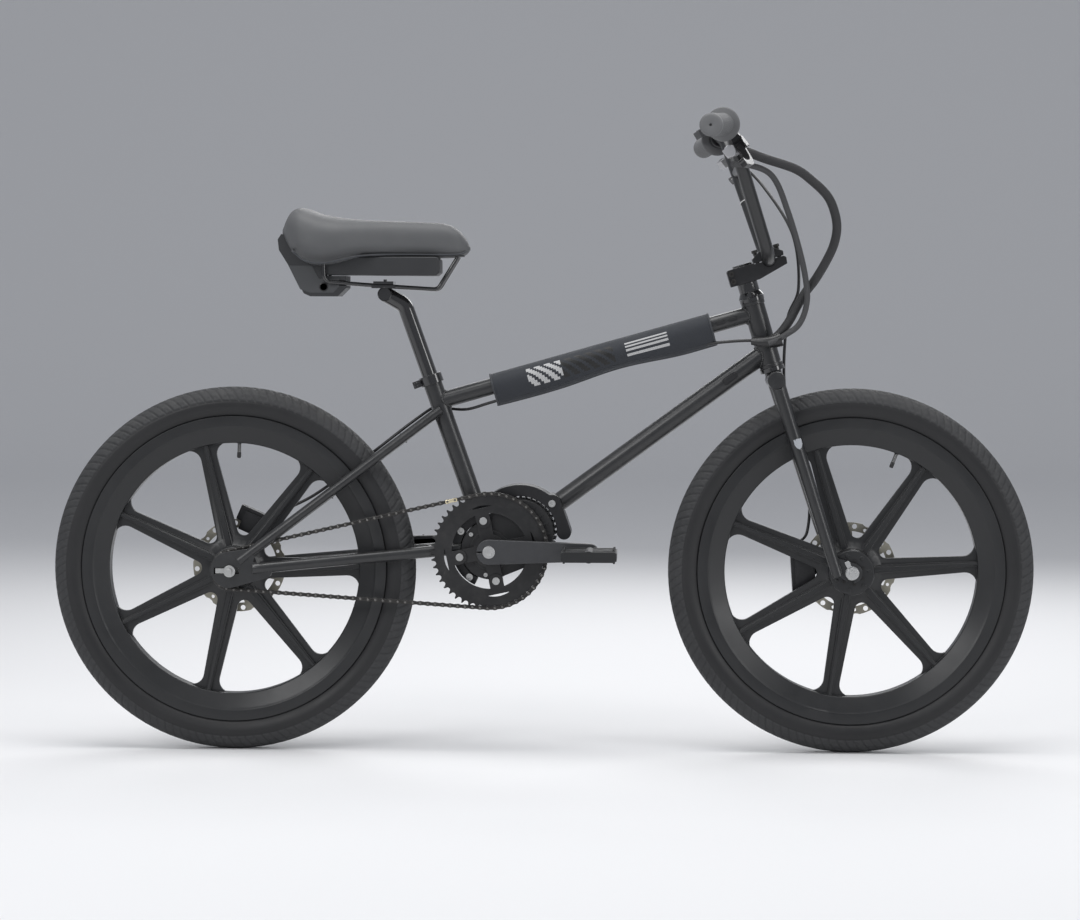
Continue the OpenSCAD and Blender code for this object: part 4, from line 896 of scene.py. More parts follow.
def tube(name: str, path: Sequence[Vector], radius: float | Callable[[float], float], sides: int = 20) -> Any:
    """Sweeps a round section along a path, with a cloth map that is in metres along and round it.

    Args:
        name: The piece's name.
        path: The points of its middle line.
        radius: Its radius in metres, or a function of the share of its length.
        sides: Count of sides.

    Returns:
        The closed tube.
    """
    frames = frames_along(path)
    lengths = [0.0]
    for a, b in zip(path, path[1:]):
        lengths.append(lengths[-1] + (b - a).length)
    points, faces, count = [], [], len(path)
    radii = [radius(s / lengths[-1]) if callable(radius) else radius for s in lengths]
    for i, (_, u, v) in enumerate(frames):
        for j in range(sides):
            a = math.tau * j / sides
            points.append(path[i] + (u * math.cos(a) + v * math.sin(a)) * radii[i])
    for i in range(count - 1):
        for j in range(sides):
            k = (j + 1) % sides
            faces.append((i * sides + j, i * sides + k, (i + 1) * sides + k, (i + 1) * sides + j))
    faces.append(tuple(reversed(range(sides))))
    faces.append(tuple((count - 1) * sides + j for j in range(sides)))
    thing = piece_from(name, points, faces, 50.0)
    layer = thing.data.uv_layers.new(name="cloth").data
    girth = math.tau * max(radii)
    for face in thing.data.polygons[: (count - 1) * sides]:
        ring, column = divmod(face.index, sides)
        for loop, (di, dj) in zip(face.loop_indices, ((0, 0), (0, 1), (1, 1), (1, 0))):
            layer[loop].uv = (lengths[ring + di], girth * (column + dj) / sides)
    return thing


def lathe(
    name: str, profile: Sequence[Point2], start: Vector, axis: Vector, segments: int = 64, closed: bool = False,
    smooth: float = 40.0,
) -> Any:
    """Turns a profile round an axis.

    Args:
        name: The piece's name.
        profile: Radius and distance along the axis of each point, in millimetres.
        start: Where the axis starts, in metres.
        axis: The axis direction.
        segments: Count of steps round the axis.
        closed: Whether the profile's ends are joined; otherwise they are capped.
        smooth: Angle above which an edge stays sharp.

    Returns:
        The turned piece.
    """
    axis = axis.normalized()
    side = axis.orthogonal().normalized()
    other = axis.cross(side)
    count = len(profile)
    points, faces = [], []
    for i in range(segments):
        a = math.tau * i / segments
        out = side * math.cos(a) + other * math.sin(a)
        points += [start + axis * x * MM + out * r * MM for r, x in profile]
    for i in range(segments):
        k = (i + 1) % segments
        for j in range(count if closed else count - 1):
            n = (j + 1) % count
            faces.append((i * count + j, k * count + j, k * count + n, i * count + n))
    if not closed:
        faces.append(tuple(i * count for i in reversed(range(segments))))
        faces.append(tuple(i * count + count - 1 for i in range(segments)))
    return piece_from(name, points, faces, smooth)


def plate(
    name: str, outline: Sequence[Point2], origin: Vector, right: Vector, up: Vector, thick: float, bevel: float = 0.4
) -> Any:
    """Makes a flat plate with softened edges.

    Args:
        name: The piece's name.
        outline: Its outline in millimetres, in the plane of right and up.
        origin: The outline's origin, in metres.
        right: Direction of the outline's first axis.
        up: Direction of its second axis.
        thick: Thickness in millimetres, towards right x up.
        bevel: Width of the softened edge in millimetres.

    Returns:
        The plate.
    """
    out = right.cross(up).normalized()
    flat = [origin + right * x * MM + up * y * MM for x, y in outline]
    count = len(flat)
    points = flat + [p + out * thick * MM for p in flat]
    faces = [tuple(reversed(range(count))), tuple(range(count, 2 * count))]
    faces += [(i, (i + 1) % count, count + (i + 1) % count, count + i) for i in range(count)]
    thing = piece_from(name, points, faces, 40.0)
    soften(thing, bevel)
    return thing


def oval(width: float, height: float, steps: int = 10) -> list[Point2]:
    """Returns the outline of a slot with round ends, in millimetres, its longer side along the first axis.

    Args:
        width: Its length.
        height: Its breadth.
        steps: Steps in each round end.

    Returns:
        The outline's points.
    """
    r = height / 2
    half = width / 2 - r
    right = [(half + r * math.cos(a), r * math.sin(a)) for a in arc_angles(-90, 90, steps)]
    left = [(-half + r * math.cos(a), r * math.sin(a)) for a in arc_angles(90, 270, steps)]
    return right + left


def arc_angles(start: float, end: float, steps: int) -> list[float]:
    """Returns angles in radians between two angles in degrees."""
    return [math.radians(start + (end - start) * i / steps) for i in range(steps + 1)]


def soften(thing: Any, width: float, segments: int = 2) -> None:
    """Adds a small bevel, in millimetres, to a piece's sharp edges.

    Args:
        thing: The piece.
        width: The bevel's width.
        segments: Its number of steps.
    """
    bevel = thing.modifiers.new("soft_edges", "BEVEL")
    bevel.width = width * MM
    bevel.segments = segments
    bevel.limit_method = "ANGLE"
    bevel.angle_limit = math.radians(38)
    bevel.use_clamp_overlap = False
    bevel.harden_normals = True


def joined(name: str, parts: Sequence[Any]) -> Any:
    """Joins meshes into one piece, keeping their materials and cloth maps.

    Args:
        name: The joined piece's name.
        parts: The pieces to join.

    Returns:
        The joined piece.
    """
    bpy.ops.object.select_all(action="DESELECT")
    for part in parts:
        part.select_set(True)
    bpy.context.view_layer.objects.active = parts[0]
    bpy.ops.object.join()
    parts[0].name = name
    parts[0].data.name = name
    return parts[0]


# ---------------------------------------------------------------- workshop


@dataclass
class Workshop:
    """What every sub-assembly needs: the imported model, the materials and the places to hang pieces."""

    frame: dict[str, Any]
    paint: Paintshop
    body_of: dict[str, str] = field(default_factory=dict)
    slot_of: dict[str, str] = field(default_factory=dict)

    def __post_init__(self) -> None:
        """Reads which body and which material slot each node belongs to."""
        record = self.frame["record"]
        for body, nodes in record["behaviour"]["bodies"].items():
            for node in nodes:
                self.body_of[node] = body
        for part in record["subparts"]:
            self.slot_of[part["node"]] = part["material_slot"]

    def fit(
        self, thing: Any, finish: Finish | None, body: str, slot: str, replaces: Iterable[str] = ()
    ) -> Any:
        """Dresses a piece and hangs it on its body.

        Args:
            thing: The piece.
            finish: Its finish, or None if it has its materials already.
            body: The body it moves with.
            slot: The record's material slot; not used.
            replaces: The nodes that it stands for.

        Returns:
            The piece.
        """
        if finish is not None:
            thing.data.materials.clear()
            thing.data.materials.append(self.paint(finish))
        if body:
            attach(thing, body)
        for node in replaces:
            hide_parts(node)
        LOG.info("%s: %s on %s", thing.name, finish.name if finish else "own finishes", body or "two bodies")
        return thing

    def refine(self, node: str, finish: Finish, bevel: float = 0.5) -> Any:
        """Copies a node with its loose corners merged, its edges softened and a finish on it.

        Args:
            node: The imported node.
            finish: Its finish.
            bevel: Width of the softened edges in millimetres; 0 leaves them sharp.

        Returns:
            The new piece, which stands for the node.
        """
        source = self.frame["nodes"][node]
        mesh = bpy.data.meshes.new(node + "_part")
        work = bmesh.new()
        work.from_mesh(source.data)
        bmesh.ops.remove_doubles(work, verts=work.verts, dist=2e-6)
        bmesh.ops.dissolve_limit(
            work, angle_limit=math.radians(0.6), verts=work.verts, edges=work.edges, use_dissolve_boundaries=False
        )
        work.to_mesh(mesh)
        work.free()
        mesh.shade_smooth()
        mesh.set_sharp_from_angle(angle=math.radians(30))
        thing = bpy.data.objects.new(node + "_part", mesh)
        bpy.context.scene.collection.objects.link(thing)
        if bevel > 0:
            soften(thing, bevel)
            self._check_size(thing, source)
        return self.fit(thing, finish, self.body_of[node], self.slot_of[node], [node])

    @staticmethod
    def _check_size(thing: Any, source: Any) -> None:
        """Takes the bevel off again if it would throw a corner outside the node.

        Args:
            thing: The softened copy.
            source: The node's own object.
        """
        graph = bpy.context.evaluated_depsgraph_get()
        mesh = thing.evaluated_get(graph).to_mesh()
        for axis in range(3):
            low = min(v.co[axis] for v in source.data.vertices) - 2e-4
            high = max(v.co[axis] for v in source.data.vertices) + 2e-4
            if any(v.co[axis] < low or v.co[axis] > high for v in mesh.vertices):
                thing.modifiers.clear()
                LOG.info("%s keeps its sharp edges", thing.name)
                break
        thing.evaluated_get(graph).to_mesh_clear()


# ---------------------------------------------------------------- tyres and wheels


@dataclass
class Tyre:
    """A street tyre with slanted grooves over the crown and a smooth sidewall."""

    shop: Workshop
    name: str
    centre: Vector
    body: str
    repeats: int = 128
    steps: int = 10
    groove: float = 1.5
    crown: float = 76.0

    def build(self) -> Any:
        """Turns the section round the axle and cuts the tread into it.

        Returns:
            The tyre.
        """
        mid = LAYOUT.tyre_radius - LAYOUT.tyre_half
        angles = [-137, -128, -119, -110, -102, -95, -88, -82, -78]
        crown = [self.crown * k / 14 for k in range(-14, 15)]
        angles = angles + crown + [-a for a in reversed(angles)]
        rounds = self.repeats * self.steps
        points, faces, count = [], [], len(angles)
        for i in range(rounds):
            turn = math.tau * i / rounds
            for a in angles:
                r = LAYOUT.tyre_half - self._cut(i / self.steps, a)
                out = mid + r * math.cos(math.radians(a))
                points.append(
                    self.centre
                    + mm(out * math.cos(turn), r * math.sin(math.radians(a)), out * math.sin(turn))
                )
        for i in range(rounds):
            k = (i + 1) % rounds
            for j in range(count - 1):
                faces.append((i * count + j, i * count + j + 1, k * count + j + 1, k * count + j))
        thing = piece_from(self.name + "_carcass", points, faces, None)
        thing.data.materials.append(self.shop.paint(SIDEWALL))
        thing.data.materials.append(self.shop.paint(TREAD))
        for face in thing.data.polygons:
            column = face.index % (count - 1)
            face.material_index = 1 if 8 <= column < count - 9 else 0
        node = self.name
        return self.shop.fit(thing, None, self.body, "tyre_rubber", [node])

    def _cut(self, repeat: float, angle: float) -> float:
        """Depth of the tread pattern, in millimetres.

        Args:
            repeat: Place round the tyre, in repeats of the pattern.
            angle: Place across the tyre, in degrees from its crown.

        Returns:
            How far the surface lies below the tyre's full section.
        """
        across = abs(angle) / self.crown
        if across > 1.001:
            ring = 0.45 if 84 < abs(angle) < 92 else 0.0
            return ring + (0.9 if abs(angle) < 80 else 0.0)
        shift = 0.5 if angle > 0 else 0.0
        phase = (repeat + shift + 2.4 * across - 0.7 * across * across) % 1.0
        slit = 1.0 if phase < 0.19 else 0.0
        band = (3.5 * across + 0.12 * (repeat % 2.0)) % 1.0
        if 0.16 < across < 0.9 and band < 0.13:
            slit = max(slit, 0.75)
        return self.groove * slit


@dataclass
class Wheels:
    """Both wheels: moulded spokes, tyres, discs, bearings and valves."""

    shop: Workshop

    def build(self) -> None:
        """Builds and dresses everything that turns with the wheels."""
        for end, centre in (("front", LAYOUT.front_axle), ("rear", LAYOUT.rear_axle)):
            body = end + "_wheel"
            Tyre(self.shop, end + "_tyre", centre, body).build()
            self.shop.refine(end + "_mag_wheel", NYLON, 0.9)
            self.shop.refine(end + "_rotor", ROTOR_FRONT if end == "front" else ROTOR_REAR, 0.15)
            self.shop.refine(end + "_bearings_valve", BRIGHT_STEEL, 0.2)
            self._hub_ring(end, centre, body)
            self._valve(end, centre, body)
        self.shop.refine("front_axle_set", BRIGHT_STEEL, 0.35)
        self.shop.refine("rear_axle_set", BRIGHT_STEEL, 0.35)

    def _hub_ring(self, end: str, centre: Vector, body: str) -> None:
        """Adds the ring of small screws on the hub's outer face.

        Args:
            end: Which wheel.
            centre: The wheel's centre.
            body: The wheel's body.
        """
        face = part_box(end + "_mag_wheel")[0][1]
        parts = []
        for i in range(7):
            a = math.radians(360 / 7 * i + 24)
            at = centre + mm(20.5 * math.cos(a), 0, 20.5 * math.sin(a))
            at.y = face + 0.3 * MM
            profile = [(0.5, 0.9), (1.1, 0.9), (1.2, 0.2), (2.2, 0.1), (2.6, 0.4), (2.6, 1.6)]
            parts.append(lathe("screw", [(r, -x) for r, x in profile], at, Vector((0, 1, 0)), 14))
        screws = joined(end + "_hub_screws", parts)
        self.shop.fit(screws, OILED_STEEL, body, "moulded_nylon")

    def _valve(self, end: str, centre: Vector, body: str) -> None:
        """Adds the valve's threaded stem and cap, which stand out of the rim towards the hub.

        Args:
            end: Which wheel.
            centre: The wheel's centre.
            body: The wheel's body.
        """
        turn = math.radians(69 if end == "front" else 88)
        inwards = -Vector((math.cos(turn), 0, math.sin(turn)))
        start = centre - inwards * 216 * MM
        stem = [(3.9, 0), (4.2, 0.6), (4.2, 3), (3.2, 3.4)]
        stem += [(2.95 + 0.22 * (k % 2), 4 + 0.6 * k) for k in range(24)]
        stem += [(3.3, 18.6), (3.55, 19.2), (3.55, 26), (2.6, 28), (0.6, 28.2)]
        valve = lathe(end + "_valve_stem", stem, start, inwards, 24)
        self.shop.fit(valve, HOSE, body, "bright_steel")


# ---------------------------------------------------------------- drive


@dataclass
class Chain:
    """A roller chain of real links round both sprockets."""

    shop: Workshop
    plate_thick: float = 1.2

    def place(self, link: float) -> tuple[Vector, Vector]:
        """Returns where a pin lies and which way the chain runs there, by its number of links from the ring's top.

        Args:
            link: Number of links from the ring's top.

        Returns:
            The pin's place, and a unit vector.
        """
        big = Layout.pitch_radius(LAYOUT.ring_teeth, LAYOUT.pitch)
        small = Layout.pitch_radius(LAYOUT.cog_teeth, LAYOUT.pitch)
        centre = LAYOUT.chain_centre
        tilt = math.atan2(LAYOUT.crank_rise, (LAYOUT.crank - LAYOUT.rear_axle).x / MM)
        wrap = math.asin((big - small) / centre)
        on_ring = LAYOUT.ring_teeth * (math.pi + 2 * wrap) / math.tau
        run = centre * math.cos(wrap) / LAYOUT.pitch
        on_cog = LAYOUT.cog_teeth * (math.pi - 2 * wrap) / math.tau
        top = tilt + math.pi / 2 + wrap
        low = tilt - math.pi / 2 - wrap
        link %= LAYOUT.links
        if link <= on_ring:
            a = top - math.tau * link / LAYOUT.ring_teeth
            return self._round(LAYOUT.crank, big, a), self._way(a)
        link -= on_ring
        if link <= run:
            return self._round(LAYOUT.crank, big, low) + self._way(low) * link * LAYOUT.pitch * MM, self._way(low)
        link -= run
        if link <= on_cog:
            a = low - math.tau * link / LAYOUT.cog_teeth
            return self._round(LAYOUT.rear_axle, small, a), self._way(a)
        link -= on_cog
        return self._round(LAYOUT.rear_axle, small, top) + self._way(top) * link * LAYOUT.pitch * MM, self._way(top)

    @staticmethod
    def _round(centre: Vector, radius: float, angle: float) -> Vector:
        """Returns a point round a sprocket's centre."""
        return centre + mm(radius * math.cos(angle), 0, radius * math.sin(angle))

    @staticmethod
    def _way(angle: float) -> Vector:
        """Returns the way the chain runs at an angle round a sprocket."""
        return Vector((math.sin(angle), 0, -math.cos(angle)))

    def build(self) -> Any:
        """Builds every link; one outer link has the pale finish of a joining link.

        Returns:
            The chain.
        """
        points: list[Vector] = []
        faces: list[tuple[int, ...]] = []
        kinds: list[int] = []
        pins = [self.place(i)[0] for i in range(LAYOUT.links)]
        for i in range(LAYOUT.links):
            a, b = pins[i], pins[(i + 1) % LAYOUT.links]
            outer = i % 2 == 0
            side = 3.0 if outer else 1.75
            kind = 2 if i == LAYOUT.links - 4 else 0
            for y in (side, -side):
                self._plate(points, faces, kinds, a, b, y, kind)
            self._roller(points, faces, kinds, a, 3.85, 1.7, 0)
            if outer:
                self._roller(points, faces, kinds, a, 1.9, 4.45, 1)
                self._roller(points, faces, kinds, b, 1.9, 4.45, 1)
        thing = piece_from("roller_chain", points, faces, 40.0)
        for finish in (OILED_STEEL, PIN_STEEL, PALE_LINK):
            thing.data.materials.append(self.shop.paint(finish))
        for face, kind in zip(thing.data.polygons, kinds):
            face.material_index = kind
        return self.shop.fit(thing, None, "frame", "chain_steel", ["chain"])

    def _plate(
        self, points: list[Vector], faces: list[tuple[int, ...]], kinds: list[int], a: Vector, b: Vector,
        side: float, kind: int,
    ) -> None:
        """Adds one waisted side plate between two pins.

        Args:
            points: The chain's vertices, which this adds to.
            faces: Its faces.
            kinds: Each face's material slot.
            a: The first pin.
            b: The second pin.
            side: Distance of the plate's inner face from the middle.
            kind: The plate's slot.
        """
        way = (b - a).normalized()
        up = Vector((-way.z, 0, way.x))
        length = (b - a).length / MM
        outline = [(4.1 * math.cos(t), 4.1 * math.sin(t)) for t in arc_angles(125, 235, 6)]
        outline += [(length * 0.3, -2.9), (length * 0.5, -2.5), (length * 0.7, -2.9)]
        outline += [(length + 4.1 * math.cos(t), 4.1 * math.sin(t)) for t in arc_angles(-55, 55, 6)]
        outline += [(length * 0.7, 2.9), (length * 0.5, 2.5), (length * 0.3, 2.9)]
        mid = LAYOUT.chain_y + math.copysign(abs(side) + self.plate_thick / 2, side)
        base = len(points)
        half = self.plate_thick / 2
        levels = ((-half, 0.86), (-half + 0.25, 1.0), (half - 0.25, 1.0), (half, 0.86))
        count = len(outline)
        for y, k in levels:
            for x, z in outline:
                cx = length / 2 + (x - length / 2) * (0.97 if k < 1 else 1.0)
                at = a + way * cx * MM + up * z * k * MM
                points.append(Vector((at.x, (mid + y) * MM, at.z)))
        faces.append(tuple(base + j for j in range(count)))
        faces.append(tuple(base + 3 * count + j for j in reversed(range(count))))
        for level in range(3):
            for j in range(count):
                k = (j + 1) % count
                low, high = base + level * count, base + (level + 1) * count
                faces.append((low + k, low + j, high + j, high + k))
        kinds.extend([kind] * (2 + 3 * count))

    @staticmethod
    def _roller(
        points: list[Vector], faces: list[tuple[int, ...]], kinds: list[int], at: Vector, radius: float, half: float,
        kind: int,
    ) -> None:
        """Adds one roller or pin across the chain.

        Args:
            points: The chain's vertices, which this adds to.
            faces: Its faces.
            kinds: Each face's material slot.
            at: The pin's place.
            radius: The roller's radius.
            half: Half of its length.
            kind: Its slot.
        """
        base, sides = len(points), 12
        for y, r in ((-half, radius * 0.8), (-half + 0.2, radius), (half - 0.2, radius), (half, radius * 0.8)):
            for j in range(sides):
                t = math.tau * j / sides
                points.append(
                    Vector((at.x + r * math.cos(t) * MM, (LAYOUT.chain_y + y) * MM, at.z + r * math.sin(t) * MM))
                )
        faces.append(tuple(base + j for j in range(sides)))
        faces.append(tuple(base + 3 * sides + j for j in reversed(range(sides))))
        for level in range(3):
            for j in range(sides):
                k = (j + 1) % sides
                low, high = base + level * sides, base + (level + 1) * sides
                faces.append((low + k, low + j, high + j, high + k))
        kinds.extend([kind] * (2 + 3 * sides))


@dataclass
class Drive:
    """Motor, cranks, sprockets, pedals and the chain."""

    shop: Workshop

    def build(self) -> None:
        """Builds and dresses the drive."""
        refine = self.shop.refine
        refine("motor_cradle", ANODISED, 0.8)
        refine("motor_housing", CASTING, 0.3)
        refine("gear_case", CASTING, 0.8)
        refine("motor_hardware", BRIGHT_STEEL, 0.25)
        refine("chainring", RING_PLATE, 0.25)
        refine("crank_arms", FORGED, 1.4)
        refine("crank_spindle", BRIGHT_STEEL, 0.3)
        refine("pedal_axles", BRIGHT_STEEL, 0.3)
        refine("freewheel_cog", OILED_STEEL, 0.25)
        for side in ("right", "left"):
            refine("pedal_" + side, NYLON, 0.5)
        Chain(self.shop).build()
        self._case_ribs()
        self._pedal_caps()

    def _case_ribs(self) -> None:
        """Adds the ribs on the gear case's outer face."""
        low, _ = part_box("gear_case")
        face = low[1] + 3 * MM
        centre = LAYOUT.crank + mm(50, 0, 29)
        parts = []
        for a in range(-40, 120, 20):
            way = Vector((math.cos(math.radians(a)), 0, math.sin(math.radians(a))))
            at = Vector((centre.x, face, centre.z)) + way * 40 * MM
            outline = [(-12, -1.2), (12, -1.2), (12, 1.2), (-12, 1.2)]
            parts.append(plate("rib", outline, at, way, Vector((-way.z, 0, way.x)), 1.6, 0.4))
        self.shop.fit(joined("gear_case_ribs", parts), CASTING, "frame", "motor_cast")

    def _pedal_caps(self) -> None:
        """Adds the round dust cap at the outer end of each pedal."""
        for side, sign in (("right", -1), ("left", 1)):
            low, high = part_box("pedal_" + side)
            at = Vector(((low[0] + high[0]) / 2, low[1] if sign < 0 else high[1], (low[2] + high[2]) / 2))
            profile = [(9.4, -1), (9.4, -0.2), (8.6, -0.6), (7.8, -1.6), (3, -1.8), (2.4, -1.4), (0.5, -1.4)]
            cap = lathe(f"pedal_cap_{side}", profile, at, Vector((0, sign, 0)), 40)
            self.shop.fit(cap, CASE, side + "_pedal", "pedal_plastic")


# ---------------------------------------------------------------- frame


@dataclass
class FrameSet:
    """Frame tubes, headset, brakes on the frame and the pieces fixed to them."""

    shop: Workshop

    def build(self) -> None:
        """Builds and dresses the frame."""
        refine = self.shop.refine
        for node in ("head_tube", "top_tube", "down_tube", "seat_tube", "chainstays", "seatstays", "rear_dropouts"):
            refine(node, BLACK_PAINT, 0.5)
        refine("headset_cups", GLOSS, 0.5)
        refine("seat_collar", GLOSS, 0.6)
        refine("rear_caliper", ANODISED, 1.0)
        refine("rear_brake_pad", PAD_METAL, 0.2)
        self._welds()
        self._ports()
        self._rear_hose()

    def _welds(self) -> None:
        """Adds rippled weld beads where the main tubes meet."""
        layout = LAYOUT
        down = layout.steer(layout.head_low + 28)
        motor = layout.crank + mm(50, 0, 29)
        down_rear = motor + Vector((math.cos(math.radians(38)), 0, math.sin(math.radians(38)))) * 72 * MM
        joints = [
            ("top_front_weld", layout.top_line[1], layout.steer_up, 18.5, layout.top_line[0], 14.3),
            ("top_rear_weld", layout.top_line[0], layout.seat_up, 15.9, layout.top_line[1], 14.3),
            ("down_front_weld", down, layout.steer_up, 18.5, down_rear, 15.9),
        ]
        for name, at, axis, radius, towards, branch in joints:
            self._bead(name, at, axis, radius, (towards - at).normalized(), branch)

    def _bead(self, name: str, at: Vector, axis: Vector, radius: float, way: Vector, branch: float) -> None:
        """Adds one bead round a tube that stands on another.

        Args:
            name: The bead's name.
            at: Where the two axes cross.
            axis: Direction of the tube that carries the other.
            radius: Its radius in millimetres.
            way: Direction of the other tube.
            branch: The other tube's radius in millimetres.
        """
        side = Vector((0, 1, 0))
        up = way.cross(side).normalized()
        path, steps = [], 200
        for i in range(steps):
            a = math.tau * i / steps
            off = side * branch * math.cos(a) + up * branch * math.sin(a)
            lateral = off - axis * off.dot(axis)
            flat_way = way - axis * way.dot(axis)
            b = lateral.dot(flat_way)
            a2 = flat_way.length_squared
            c = lateral.length_squared - radius * radius
            t = (-b + math.sqrt(max(b * b - a2 * c, 0.0))) / a2
            path.append(at + (off + way * t) * MM)
        points, faces, sides = [], [], 8
        for i in range(steps):
            heading = (path[(i + 1) % steps] - path[i - 1]).normalized()
            u = (path[i] - at - way * (path[i] - at).dot(way)).normalized()
            v = heading.cross(u)
            r = (1.9 + 0.35 * math.sin(i * math.tau * 34 / steps)) * MM
            for j in range(sides):
                t = math.tau * j / sides
                points.append(path[i] + (u * math.cos(t) + v * math.sin(t)) * r)
        for i in range(steps):
            k = (i + 1) % steps
            for j in range(sides):
                n = (j + 1) % sides
                faces.append((i * sides + j, i * sides + n, k * sides + n, k * sides + j))
        self.shop.fit(piece_from(name, points, faces, None), BLACK_PAINT, "frame", "frame_paint")

    def _ports(self) -> None:
        """Adds the oblong cable ports on the top tube and the down tube."""
        layout = LAYOUT
        rear, front = layout.top_line
        along = (front - rear).normalized()
        up = Vector((-along.z, 0, along.x))
        for i, place in enumerate((62.0, 40.0)):
            at = layout.top(layout.top_length - place, 0.5, -14.6)
            self._port(f"top_port_{i + 1}", at, along, up, 17, 8.5)
        down = layout.steer(layout.head_low + 28)
        motor = layout.crank + mm(50, 0, 29)
        start = motor + Vector((math.cos(math.radians(38)), 0, math.sin(math.radians(38)))) * 72 * MM
        way = (down - start).normalized()
        at = down - way * 78 * MM + mm(0, -16.0, 0)
        self._port("down_port", at, way, Vector((-way.z, 0, way.x)), 30, 13)

    def _port(self, name: str, at: Vector, along: Vector, up: Vector, width: float, height: float) -> None:
        """Adds one oblong port cover with a raised rim.

        Args:
            name: The cover's name.
            at: Its middle.
            along: Direction of its longer side.
            up: Direction of its shorter side.
            width: Its length.
            height: Its breadth.
        """
        rim = plate(name + "_rim", oval(width, height), at + mm(0, 1.6, 0), along, up, 2.4, 0.6)
        inner = plate(name + "_plug", oval(width - 5, height - 4), at + mm(0, 1, 0), along, up, 2.6, 0.5)
        body = joined(name, [rim, inner])
        self.shop.fit(body, HOSE, "frame", "hose_rubber")

    def _rear_hose(self) -> None:
        """Builds the rear brake's hose along the top tube and the far seatstay, with its clips."""
        layout = LAYOUT
        high_rear = layout.rear_axle + mm(14, 70.5, 16)
        high_front = layout.seat(253) + mm(0, 21.9, 0)
        stay = high_front - high_rear
        lift = Vector((-stay.z, 0, stay.x)).normalized()

        def over(t: float, h: float, y: float) -> Vector:
            """Returns a point over the far seatstay."""
            return high_rear + stay * t + lift * h * MM + mm(0, y, 0)

        length = layout.top_length
        route = [
            layout.sleeve + mm(-4, -3, 0), layout.sleeve + mm(-40, 4, 1), layout.top(length - 92, -29, -8),
            layout.top(length - 150, -26), layout.top(length - 300, -25),
            layout.top(130, -25), layout.top(80, -26, 4),
            layout.top(40, -26, 16), layout.top_line[0] + mm(6, 32, -12), high_front + mm(-12, 18, 4),
            over(0.86, 13, 5), over(0.6, 12, 1), over(0.38, 14, 0), over(0.26, 22, -4), over(0.16, 26, -8),
        ]
        hose = tube("rear_hose_line", spline(route, 12), 2.6 * MM, 16)
        self.shop.fit(hose, HOSE, "frame", "hose_rubber", ["rear_brake_hose"])
        for i, t in enumerate((0.42, 0.62, 0.8)):
            middle = high_rear + stay * t
            loop = [middle + (lift * math.cos(a) + Vector((0, 1, 0)) * math.sin(a)) * 8.9 * MM
                    for a in arc_angles(0, 350, 30)]
            tie = tube(f"stay_clip_{i + 1}", loop, 1.1 * MM, 8)
            self.shop.fit(tie, HOSE, "frame", "hose_rubber")


# ---------------------------------------------------------------- fork and cockpit


